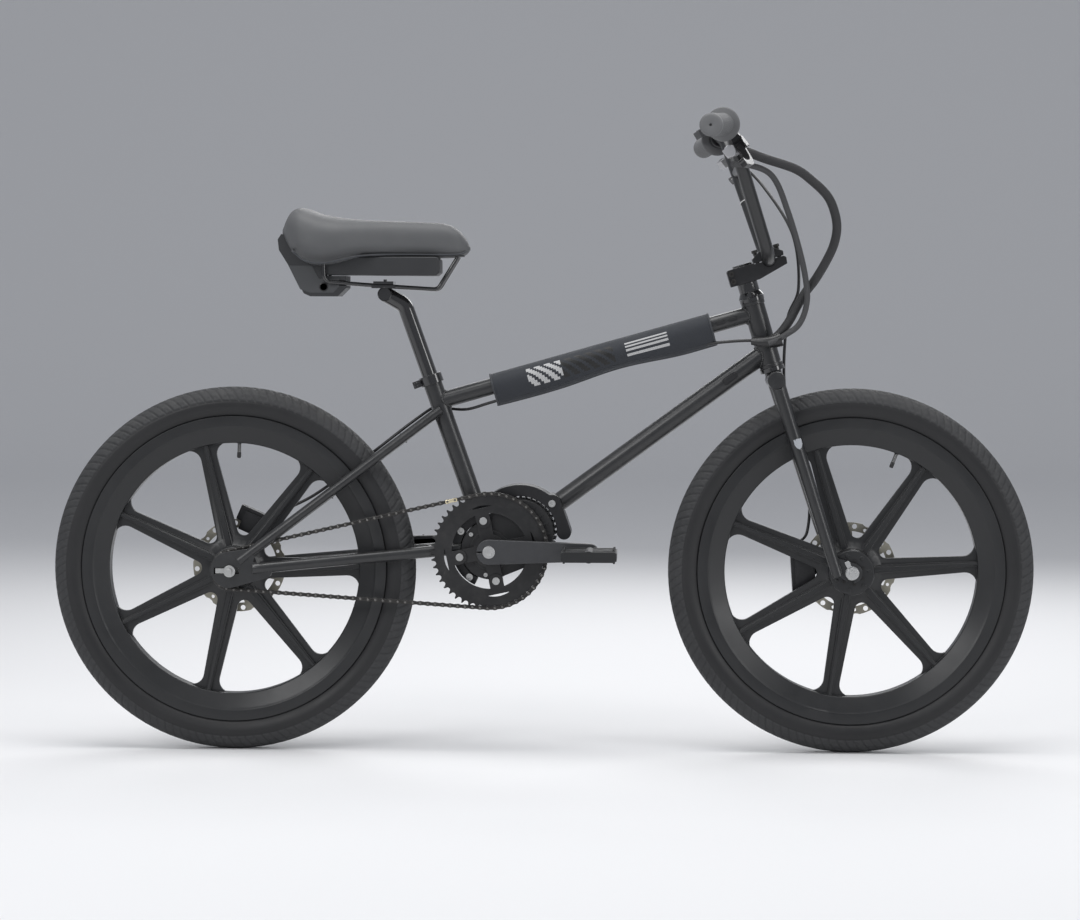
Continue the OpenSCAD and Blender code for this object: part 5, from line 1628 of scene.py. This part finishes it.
@dataclass
class Cockpit:
    """Fork, stem, bar, grips, levers, display, looms and the front brake."""

    shop: Workshop
    body: str = "fork_and_bar"

    def build(self) -> None:
        """Builds and dresses everything that steers."""
        refine = self.shop.refine
        refine("fork_crown", BLACK_PAINT, 1.2)
        refine("fork_legs", BLACK_PAINT, 0.6)
        refine("stem", ANODISED, 0.9)
        refine("stem_cap", ANODISED, 0.9)
        refine("headset_spacers", GLOSS, 0.4)
        refine("cockpit_bolts", OILED_STEEL, 0.3)
        refine("display_unit", CASE, 0.25)
        refine("display_button_up", RUBBER_KEY, 0.15)
        refine("display_button_down", RUBBER_KEY, 0.15)
        refine("brake_lever_right", ANODISED, 1.2)
        refine("brake_lever_left", ANODISED, 1.2)
        refine("front_caliper", ANODISED, 1.0)
        refine("front_brake_pad", PAD_METAL, 0.2)
        self._lever_clamps()
        self._bar()
        self._grips()
        self._screen()
        self._looms()
        self._front_hose()
        self._ties()
        self._badge()

    def _lever_clamps(self) -> None:
        """Dresses the lever clamps: black bodies and silver master cylinders."""
        thing = self.shop.refine("lever_clamps", ANODISED, 0.8)
        thing.data.materials.append(self.shop.paint(SILVER))
        along = LAYOUT.bar_slope.normalized()
        ahead = LAYOUT.lever_ahead
        cross = along.cross(ahead)
        for face in thing.data.polygons:
            at = face.center if face.center.y < 0 else flipped(face.center)
            local = at - LAYOUT.bar(219)
            x, y, z = local.dot(along) / MM, local.dot(ahead) / MM, local.dot(cross) / MM
            barrel = math.hypot(y - 40, z + 19.2) < 10.4 and -33 < x < 15
            tank = 30.5 < y < 47.5 and -31.5 < z < -22.5 and -33 < x < 3
            face.material_index = 1 if barrel or tank else 0

    def _bar(self) -> None:
        """Builds the bar with smooth bends and its crossbar."""
        layout = LAYOUT
        corners = [layout.bar_clamp, layout.bar_clamp + mm(0, -62, 0), layout.bar_corner, layout.bar(367)]
        half = bent_path(corners, [0.06, 0.05], 24)
        path = list(reversed(half[1:])) + [flipped(p) for p in half[1:]]
        bar = tube("bar_tube", path, 11.1 * MM, 40)
        low, high = corners[1], corners[2]
        at = low + (high - low) * 0.7
        cross = tube("cross_tube", [at + mm(0, 6, 0), Vector((at.x, 0, at.z)), flipped(at + mm(0, 6, 0))], 8 * MM, 32)
        self.shop.fit(joined("handlebar_tubes", [bar, cross]), BLACK_PAINT, self.body, "frame_paint", ["handlebar"])

    def _grips(self) -> None:
        """Builds the ribbed grips with their wide inner flanges and round ends."""
        along = LAYOUT.bar_slope.normalized()
        reach = (LAYOUT.bar(370) - LAYOUT.bar(240)).length / MM
        profile: list[Point2] = [(11.3, 0.2), (26, 0.0), (27.6, 0.9), (28, 3), (27.6, 5.1), (26, 6), (20, 6.3)]
        x = 8.0
        while x < reach - 20:
            profile += [(17.2, x), (18.4, x + 0.8), (18.4, x + 2.6), (17.2, x + 3.4)]
            x += 4.2
        profile += [(17.0, reach - 17), (18.5, reach - 15), (18.5, reach - 4), (17.6, reach - 1.2)]
        profile += [(14.5, reach - 0.1), (3.2, reach), (2.2, reach - 0.6), (2.0, reach - 3.5), (0.6, reach - 3.5)]
        parts = []
        for side in (1, -1):
            start, way = LAYOUT.bar(240), along
            if side < 0:
                start, way = flipped(start), flipped(way)
            parts.append(lathe("grip", profile, start, way, 72, smooth=60.0))
        self.shop.fit(joined("grip_pair", parts), GRIP, self.body, "grip_rubber", ["grips"])

    def _screen(self) -> None:
        """Adds the display's dark window."""
        left = flipped(LAYOUT.bar_slope.normalized())
        ahead = Vector((0.86, 0, 0.5))
        ahead = (ahead - left * ahead.dot(left)).normalized()
        up = ahead.cross(left)
        centre = flipped(LAYOUT.bar(210)) - ahead * 16 * MM + up * 24 * MM
        outline = self._rounded(34, 26, 3)
        window = plate("display_window", outline, centre - left * 7.5 * MM + up * 6.1 * MM, left, -ahead, 0.8, 0.3)
        self.shop.fit(window, GLASS_SCREEN, self.body, "case_plastic")

    @staticmethod
    def _rounded(width: float, height: float, radius: float) -> list[Point2]:
        """Returns the outline of a rectangle with round corners, in millimetres.

        Args:
            width: Its width.
            height: Its height.
            radius: The corners' radius.

        Returns:
            The outline's points.
        """
        corners = ((1, 1, 0), (-1, 1, 90), (-1, -1, 180), (1, -1, 270))
        return [
            (sx * (width / 2 - radius) + radius * math.cos(a), sy * (height / 2 - radius) + radius * math.sin(a))
            for sx, sy, start in corners
            for a in arc_angles(start, start + 90, 6)
        ]

    def _looms(self) -> None:
        """Builds the two braided looms and the sleeve where they meet."""
        top, low = LAYOUT.loom_top, LAYOUT.sleeve
        main = [
            top + mm(9, 3, 2), top + mm(22, 8, -2), top + mm(50, 19, -12),
            top + mm(101, 40, -28), top + mm(130, 57, -47),
            top + mm(156, 75, -71), top + mm(169, 91, -97), top + mm(174, 105, -124), low + mm(109, -34, 161),
            low + mm(96, -24, 132), low + mm(79, -16, 103), low + mm(64, -11, 83), low + mm(50, -7, 59),
            low + mm(38, -4, 36), low + mm(24, -2, 16), low + mm(11, -1, 4), low + mm(2, 0, 0),
        ]
        thin = [
            top + mm(-4, 3, -22), top + mm(25, 18, -23), top + mm(55, 33, -33), top + mm(73, 49, -54),
            top + mm(90, 71, -95), top + mm(104, 91, -135), low + mm(57, -42, 132), low + mm(64, -30, 97),
            low + mm(66, -23, 71), low + mm(61, -18, 45), low + mm(50, -15.5, 25), low + mm(32, -14, 12),
            low + mm(17, -13.5, 3), low + mm(2, -13.2, -4),
        ]
        dark = tube("main_loom", spline(main, 9), 7.6 * MM, 24)
        pale = tube("thin_loom", spline(thin, 9), 5.0 * MM, 20)
        for loom, finish, nodes in ((dark, BRAID_DARK, ["cable_looms"]), (pale, BRAID_PALE, ["cable_looms"])):
            self.shop.fit(loom, finish, "", "braided_sleeve", nodes)
            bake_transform(loom)
        path = [low + mm(24, -7, 4), low + mm(10, -6.5, 0), low + mm(-8, -5, -1), low + mm(-26, -1, 0)]
        sleeve = tube("shrink_sleeve", spline(path, 8), lambda t: (12.5 - 6.5 * t) * MM, 28)
        self.shop.fit(sleeve, SHRINK, "frame", "hose_rubber")

    def _front_hose(self) -> None:
        """Builds the front brake's hose down the far fork leg."""
        layout = LAYOUT
        top = flipped(layout.loom_top)
        crown = layout.head_low - 22.4
        bar = layout.stem_up + 13

        def leg(up: float, ahead: float, left: float) -> Vector:
            """Returns a point beside the far fork leg."""
            return layout.steer(up, ahead, 58 + left)

        route = [
            top, top + mm(20, -8, -6), layout.steer(bar + 120, 78, 106), layout.steer(bar + 30, 100, 66),
            layout.steer(bar - 60, 84, 58), layout.steer(crown + 90, 50, 64),
            leg(crown - 10, 16, 16), leg(240, 8, 16),
            leg(130, 2, 14), leg(70, -18, 8), leg(58, -38, -9),
        ]
        hose = tube("front_hose_line", spline(route, 12), 2.6 * MM, 16)
        self.shop.fit(hose, HOSE, self.body, "hose_rubber", ["front_brake_hose"])

    def _ties(self) -> None:
        """Adds the white tie round the far riser."""
        low = LAYOUT.bar_clamp + mm(0, 62, 0)
        high = flipped(LAYOUT.bar_corner)
        way = (high - low).normalized()
        at = low + (high - low) * 0.46
        side = way.orthogonal().normalized()
        other = way.cross(side)
        loop = [at + (side * math.cos(a) + other * math.sin(a)) * 11.9 * MM for a in arc_angles(0, 352, 40)]
        ring = tube("riser_tie_band", loop, 1.0 * MM, 8)
        corners = [(-2.5, -2), (2.5, -2), (2.5, 2), (-2.5, 2)]
        head = plate("riser_tie_head", corners, at + side * 12 * MM, other, way, 4, 0.5)
        self.shop.fit(joined("riser_tie", [ring, head]), WHITE_TIE, self.body, "case_plastic")

    def _badge(self) -> None:
        """Adds a plain shield-shaped badge to the near fork leg."""
        up = LAYOUT.steer_up
        ahead = LAYOUT.steer_ahead
        at = LAYOUT.steer(226, 5.2, -58 - 11.4)
        outline = [(-6.5, 8), (-6.5, -1), (-4, -6.5), (0, -9.5), (4, -6.5), (6.5, -1), (6.5, 8), (0, 9)]
        badge = plate("plain_badge", outline, at + mm(0, 1, 0), ahead, up, 1.3, 0.3)
        self.shop.fit(badge, BADGE, self.body, "bright_steel")


# ---------------------------------------------------------------- saddle


@dataclass
class Saddle:
    """Saddle with its rails, its battery below and the tail housing."""

    shop: Workshop
    body: str = "saddle_post"
    half_width: float = 87.5
    nose_half: float = 33.0

    def build(self) -> None:
        """Builds and dresses the saddle."""
        refine = self.shop.refine
        refine("saddle_clamp", GLOSS, 0.6)
        refine("saddle_base", CASE, 0.5)
        refine("battery_case", CASE, 2.0)
        refine("tail_housing", CASE, 2.2)
        self._cushion()
        self._post()
        self._rails()
        self._tail_details()

    def _at(self, x: float, y: float, z: float) -> Vector:
        """Returns a point by its distances from the rails' middle."""
        return LAYOUT.rail_middle + mm(x, y, z)

    @staticmethod
    def _blend(table: Sequence[Point2], x: float) -> float:
        """Reads a smooth curve through a table of points.

        Args:
            table: Places and values, in order.
            x: Where it is read.

        Returns:
            The value.
        """
        last = len(table) - 1
        for i in range(last):
            if x <= table[i + 1][0] or i == last - 1:
                x0, x1 = table[i][0], table[i + 1][0]
                t = min(max((x - x0) / (x1 - x0), 0.0), 1.0)
                p0 = table[max(i - 1, 0)][1]
                p1, p2 = table[i][1], table[i + 1][1]
                p3 = table[min(i + 2, last)][1]
                return 0.5 * (
                    2 * p1 + (p2 - p0) * t + (2 * p0 - 5 * p1 + 4 * p2 - p3) * t * t + (3 * p1 - p0 - 3 * p2 + p3) * t**3
                )
        return table[-1][1]

    def _cushion(self) -> None:
        """Lofts the padded top: a raised tail, a dished middle and a round nose."""
        w, n = self.half_width, self.nose_half
        half = [
            (-171, w * 0.34), (-160, w * 0.72), (-140, w * 0.92), (-115, w), (-75, w * 0.96), (-40, w * 0.76),
            (0, n * 1.38), (50, n * 1.12), (100, n), (126, n * 0.82), (140, n * 0.5), (146, n * 0.2),
        ]
        top = [
            (-171, 98), (-166, 110), (-156, 126), (-143, 132.5), (-128, 130.5), (-100, 121.5), (-66, 116.5),
            (-29, 113.5), (30, 111), (96, 107.5), (115, 102.5), (130, 92), (140, 79), (146, 66),
        ]
        low = [
            (-171, 84), (-166, 74), (-155, 57), (-130, 37), (-101, 32), (-75, 36), (-40, 44), (0, 47), (100, 47),
            (130, 48.5), (140, 53), (146, 60),
        ]
        stations, around = 64, 40
        points, faces = [], []
        for i in range(stations + 1):
            t = i / stations
            x = -171 + 317 * (0.5 - 0.5 * math.cos(math.pi * t))
            width, high, foot = self._blend(half, x), self._blend(top, x), self._blend(low, x)
            for j in range(around):
                a = math.tau * j / around
                c, s = math.cos(a), math.sin(a)
                y = width * math.copysign(abs(c) ** 0.72, c)
                rise = abs(s) ** (0.62 if s > 0 else 0.8)
                mid = foot + (high - foot) * 0.36
                z = mid + (high - mid) * rise if s > 0 else mid - (mid - foot) * rise
                if s > 0:
                    dish = math.exp(-((x + 20) / 95) ** 2) * math.exp(-((y / (width * 0.42 + 1)) ** 2))
                    z -= 2.6 * dish
                elif s < -0.2:
                    y *= 0.965
                points.append(self._at(x, y, z))
        for i in range(stations):
            for j in range(around):
                k = (j + 1) % around
                faces.append((i * around + j, i * around + k, (i + 1) * around + k, (i + 1) * around + j))
        faces.append(tuple(reversed(range(around))))
        faces.append(tuple(stations * around + j for j in range(around)))
        cushion = piece_from("saddle_top", points, faces, None)
        smooth = cushion.modifiers.new("rounding", "SUBSURF")
        smooth.levels = smooth.render_levels = 1
        self.shop.fit(cushion, SADDLE_SKIN, self.body, "saddle_skin", ["saddle_cushion"])
        self._skirt(half, low)

    def _skirt(self, half: Sequence[Point2], low: Sequence[Point2]) -> None:
        """Adds the binding that runs round the lower edge of the cushion.

        Args:
            half: Half width of the cushion along its length.
            low: Height of its lower edge.
        """
        path = []
        for side in (1, -1):
            stations = [-150 + 290 * k / 40 for k in range(41)]
            for x in stations if side > 0 else reversed(stations):
                width = self._blend(half, x) * 0.93
                z = self._blend(low, x) + 5.5
                path.append(self._at(x, side * width, z))
        path.append(path[0].copy())
        edge = tube("saddle_edge", spline(path, 2), 1.6 * MM, 10)
        self.shop.fit(edge, PIPING, self.body, "saddle_skin")

    def _post(self) -> None:
        """Builds the seatpost with its smooth bend and its head."""
        layout = LAYOUT
        knee = layout.seat(313 + 153 - 26)
        head = layout.rail_middle + mm(1, 0, -14)
        path = bent_path([layout.seat(313 - 140), knee, head], [0.024], 16)
        straight = [layout.seat(173 + 20 * k) for k in range(12)]
        post = tube("post_tube", straight + path[1:], 13.57 * MM, 48)
        profile = [(0.5, -15), (10.5, -15), (12, -13.6), (12, 13.6), (10.5, 15), (0.5, 15)]
        barrel = lathe("post_head", profile, head, Vector((0, 1, 0)), 48)
        self.shop.fit(joined("seatpost_tube", [post, barrel]), GLOSS, self.body, "gloss_black", ["seatpost"])

    def _rails(self) -> None:
        """Builds the two bent rails."""
        corners = [(-100, 52, 49.3), (-98, 52, 7), (-62, 37, 4), (-30, 22, 1.6), (92, 22, -6), (126, 16, 49.3)]
        path = bent_path([self._at(*c) for c in corners], [0.012, 0.02, 0.03, 0.012], 12)
        parts = [tube("rail", path, 3.5 * MM, 24), tube("rail", [flipped(p) for p in path], 3.5 * MM, 24)]
        self.shop.fit(joined("rail_pair", parts), GLOSS, self.body, "gloss_black", ["saddle_rails"])

    def _tail_details(self) -> None:
        """Adds the lighter panel to each side of the tail housing and the round charge port to its right side."""
        parts = []
        for side in (1, -1):
            outline = [(-160, 34), (-140, -6), (-124, -12), (-84, -12), (-74, -2), (-74, 12), (-108, 12), (-120, 34)]
            right = Vector((1, 0, 0))
            at = self._at(0, side * 39.6, 0)
            if side > 0:
                outline = list(reversed(outline))
            panel = plate("panel", outline, at, right, Vector((0, 0, 1)), -1.2 if side > 0 else 1.2, 0.4)
            parts.append(panel)
        panels = joined("tail_panels", parts)
        self.shop.fit(panels, PANEL, self.body, "case_plastic")
        profile = [(7.5, 0.2), (7.5, 1.8), (6.4, 2.2), (5.8, 1.4), (5.4, 0.8), (0.5, 0.8)]
        port = lathe("charge_port", profile, self._at(-100, -40, -2), Vector((0, -1, 0)), 32)
        self.shop.fit(port, HOSE, self.body, "case_plastic")


# ---------------------------------------------------------------- padding


@dataclass
class TopTubePad:
    """The padded sleeve round the top tube: one folded piece of cloth, closed along its lower edge."""

    shop: Workshop
    rings: int = 110
    around: int = 48
    swell: float = 2.2

    def build(self) -> None:
        """Builds and inflates the sleeve."""
        self.length = LAYOUT.top_length - 77 - LAYOUT.pad_start
        sleeve = self._sleeve()
        self._inflate(sleeve)
        smooth = sleeve.modifiers.new("rounding", "SUBSURF")
        smooth.levels = smooth.render_levels = 1
        self.shop.fit(sleeve, None, "frame", "pad_fabric", ["top_tube_pad"])
        self._bindings()

    def _drop(self, t: float) -> float:
        """Depth of the lower edge below the tube, in millimetres, by the share of the sleeve's length."""
        return 33.2 - 4.2 * math.sin(math.pi * min(max((t - 0.28) / 0.6, 0.0), 1.0)) ** 2 + 1.2 * math.sin(9 * t)

    def _section(self, t: float) -> list[Point2]:
        """Returns the sleeve's section: round above, drawn in to a narrow edge below.

        Args:
            t: Place along the sleeve, from 0 to 1.

        Returns:
            The section's points, in millimetres.
        """
        drop = self._drop(t)
        radius = LAYOUT.pad_radius - 1.6
        section = []
        for j in range(self.around):
            a = math.tau * j / self.around + math.pi / 2
            c, s = math.cos(a), math.sin(a)
            y = radius * c
            z = radius * s
            if s < 0:
                pull = (-s) ** 1.5
                z = -(radius * (1 - pull) * -s + drop * pull)
                y = radius * c * (1 - 0.35 * pull) + math.copysign(1.6 * pull, c)
            wave = 0.5 * math.sin(31 * t + 2 * a) * max(-s, 0.0)
            section.append((y + wave, z))
        return section

    def _sleeve(self) -> Any:
        """Makes the closed sleeve with its cloth map.

        Returns:
            The sleeve.
        """
        points, faces = [], []
        for i in range(self.rings + 1):
            t = i / self.rings
            for y, z in self._section(t):
                points.append(LAYOUT.top(LAYOUT.pad_start + self.length * t, z, y))
        for i in range(self.rings):
            for j in range(self.around):
                k = (j + 1) % self.around
                faces.append((i * self.around + j, i * self.around + k, (i + 1) * self.around + k,
                              (i + 1) * self.around + j))
        faces.append(tuple(reversed(range(self.around))))
        faces.append(tuple(self.rings * self.around + j for j in range(self.around)))
        thing = piece_from("pad_sleeve", points, faces, 55.0)
        layer = thing.data.uv_layers.new(name="cloth").data
        girth = 0.165
        for face in thing.data.polygons[: self.rings * self.around]:
            ring, column = divmod(face.index, self.around)
            for loop, (di, dj) in zip(face.loop_indices, ((0, 0), (0, 1), (1, 1), (1, 0))):
                layer[loop].uv = (
                    self.length * MM * (ring + di) / self.rings, girth * (column + dj) / self.around
                )
        for finish in (CLOTH, PALE_PRINT, DARK_PRINT):
            thing.data.materials.append(self.shop.paint(finish))
        self._print(thing)
        return thing

    def _print(self, thing: Any) -> None:
        """Prints plain slanted bars on both sides of the sleeve.

        Args:
            thing: The sleeve.
        """
        for face in thing.data.polygons[: self.rings * self.around]:
            ring, column = divmod(face.index, self.around)
            place = ring / self.rings
            side = column if column < self.around / 2 else self.around - 1 - column
            if not 7 <= side <= 15:
                continue
            step = (ring - side) % 5
            if step in (0, 1, 2) and 0.16 < place < 0.31:
                face.material_index = 1
            elif step in (0, 1, 2) and 0.31 < place < 0.55:
                face.material_index = 2
            elif 0.6 < place < 0.8 and side % 2 == 0:
                face.material_index = 1

    def _inflate(self, thing: Any) -> None:
        """Lets the sleeve swell as cloth under light pressure, with its ends and its lower edge held.

        Args:
            thing: The sleeve.
        """
        mesh = thing.data
        held = thing.vertex_groups.new(name="sewn")
        rest = [v.co.copy() for v in mesh.vertices]
        for v in mesh.vertices:
            ring, column = divmod(v.index, self.around)
            end = min(ring, self.rings - ring)
            seam = min(abs(column - self.around / 2), self.around)
            if end <= 1 or seam <= 2:
                held.add([v.index], 1.0, "REPLACE")
        cloth = thing.modifiers.new("cloth", "CLOTH")
        settings = cloth.settings
        settings.quality = 6
        settings.mass = 0.25
        settings.tension_stiffness = settings.compression_stiffness = 12.0
        settings.bending_stiffness = 1.5
        settings.use_pressure = True
        settings.uniform_pressure_force = 3.0
        settings.vertex_group_mass = "sewn"
        settings.effector_weights.gravity = 0.0
        cloth.collision_settings.use_collision = False
        scene = bpy.context.scene
        scene.frame_start, scene.frame_end = 1, 16
        for frame in range(1, 17):
            scene.frame_set(frame)
        graph = bpy.context.evaluated_depsgraph_get()
        swollen = thing.evaluated_get(graph).to_mesh()
        moved = [v.co.copy() for v in swollen.vertices]
        thing.evaluated_get(graph).to_mesh_clear()
        thing.modifiers.remove(cloth)
        scene.frame_set(1)
        for v, start, end in zip(mesh.vertices, rest, moved):
            step = end - start
            if step.length > self.swell * MM:
                step = step.normalized() * self.swell * MM
            v.co = start + step
        mesh.update()
        LOG.info("pad_sleeve: swollen by cloth simulation")

    def _bindings(self) -> None:
        """Adds the bound edges at both ends and along the lower edge, with their stitches."""
        parts = []
        for t in (0.006, 0.994):
            loop = [LAYOUT.top(LAYOUT.pad_start + self.length * t, z, y) for y, z in self._section(t)]
            loop.append(loop[0].copy())
            parts.append(tube("binding", spline(loop, 2), 1.5 * MM, 8))
        edge = [
            LAYOUT.top(LAYOUT.pad_start + self.length * k / 60, -self._drop(k / 60) - 0.4, 0.6 * math.sin(k * 0.9))
            for k in range(61)
        ]
        parts.append(tube("binding", spline(edge, 3), 1.5 * MM, 8))
        self.shop.fit(joined("pad_bindings", parts), PIPING, "frame", "pad_fabric")
        self._stitches()

    def _stitches(self) -> None:
        """Adds a row of stitches on each side beside the lower edge."""
        parts = []
        count = 130
        for k in range(count):
            t = (k + 0.5) / count
            for side in (1, -1):
                along = LAYOUT.pad_start + self.length * t
                z = -self._drop(t) + 5.5
                y = side * (self._half_at(t, 5.5) + 0.35)
                start = LAYOUT.top(along - 1.1, z, y)
                end = LAYOUT.top(along + 1.1, z, y)
                mid = (start + end) / 2 + mm(0, side * 0.3, 0)
                parts.append(tube("stitch", [start, mid, end], 0.38 * MM, 5))
        self.shop.fit(joined("pad_stitches", parts), PANEL, "frame", "pad_fabric")

    def _half_at(self, t: float, above: float) -> float:
        """Half width of the sleeve a little above its lower edge, in millimetres.

        Args:
            t: Place along the sleeve.
            above: Height above the edge.

        Returns:
            The half width.
        """
        want = -self._drop(t) + above
        section = [p for p in self._section(t) if p[0] > 0]
        near = min(section, key=lambda p: abs(p[1] - want))
        return near[0]


# ---------------------------------------------------------------- studio


@dataclass
class Studio:
    """Pale floor, soft lights and the camera."""

    camera_at: tuple[float, float, float] = (0.187, -5.46, 0.754)
    yaw: float = -2.0
    pitch: float = 2.7
    roll: float = 0.13
    lens: float = 107.0

    def build(self) -> None:
        """Builds the studio."""
        self._floor()
        self._lights()
        self._camera()

    def _floor(self) -> None:
        """Makes a floor that curves up into a backdrop."""
        profile = [(-14.0, 0.0), (9.0, 0.0)]
        profile += [(9.0 + 4.0 * math.sin(a), 4.0 - 4.0 * math.cos(a)) for a in arc_angles(6, 90, 14)]
        profile.append((13.0, 12.0))
        points = [Vector((x, y, z)) for x in (-18.0, 18.0) for y, z in profile]
        count = len(profile)
        faces = [(i, count + i, count + i + 1, i + 1) for i in range(count - 1)]
        floor = piece_from("studio_floor", points, faces, None)
        material = bpy.data.materials.new("studio_paper")
        material.use_nodes = True
        principled = material.node_tree.nodes["Principled BSDF"]
        principled.inputs["Base Color"].default_value = (0.78, 0.78, 0.785, 1.0)
        principled.inputs["Roughness"].default_value = 0.85
        floor.data.materials.append(material)

    def _lights(self) -> None:
        """Hangs large soft lights above, in front and behind."""
        world = bpy.data.worlds.new("studio_world")
        bpy.context.scene.world = world
        world.use_nodes = True
        back = world.node_tree.nodes["Background"]
        back.inputs[0].default_value = (0.9, 0.93, 1.0, 1.0)
        back.inputs[1].default_value = 0.42
        for name, at, aim, size, power in (
            ("top_soft_box", (0.0, -0.4, 3.4), (0.0, 0.0, 0.4), (3.6, 1.6), 78.0),
            ("key_soft_box", (-2.4, -3.2, 2.6), (0.0, 0.0, 0.5), (2.2, 1.6), 52.0),
            ("side_soft_box", (3.4, -2.2, 1.4), (0.1, 0.0, 0.5), (1.0, 2.0), 30.0),
            ("rear_soft_box", (0.6, 3.0, 2.4), (0.0, 0.0, 0.5), (3.0, 1.4), 48.0),
        ):
            lamp = bpy.data.lights.new(name, "AREA")
            lamp.shape = "RECTANGLE"
            lamp.size, lamp.size_y = size
            lamp.energy = power
            thing = bpy.data.objects.new(name, lamp)
            thing.location = at
            way = Vector(aim) - Vector(at)
            thing.rotation_euler = way.to_track_quat("-Z", "Y").to_euler()
            bpy.context.scene.collection.objects.link(thing)

    def _camera(self) -> None:
        """Sets up the camera."""
        camera = bpy.data.cameras.new("studio_camera")
        camera.lens = self.lens
        camera.sensor_width = 36.0
        camera.clip_end = 80.0
        thing = bpy.data.objects.new("studio_camera", camera)
        yaw, pitch = math.radians(self.yaw), math.radians(self.pitch)
        way = Vector((math.sin(yaw) * math.cos(pitch), math.cos(yaw) * math.cos(pitch), -math.sin(pitch)))
        turn = way.to_track_quat("-Z", "Y").to_matrix() @ Matrix.Rotation(math.radians(self.roll), 3, "Z")
        thing.matrix_world = Matrix.Translation(self.camera_at) @ turn.to_4x4()
        bpy.context.scene.collection.objects.link(thing)
        bpy.context.scene.camera = thing
        bpy.context.scene.view_settings.view_transform = "Standard"


def main() -> None:
    """Builds the whole bike and its studio."""
    logging.basicConfig(level=logging.INFO, format="%(message)s")
    noise.seed_set(7)
    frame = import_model()
    Studio().build()
    shop = Workshop(frame, Paintshop())
    Wheels(shop).build()
    Drive(shop).build()
    FrameSet(shop).build()
    Cockpit(shop).build()
    Saddle(shop).build()
    TopTubePad(shop).build()
    bpy.context.view_layer.update()
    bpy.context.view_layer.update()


if __name__ == "__main__":
    main()
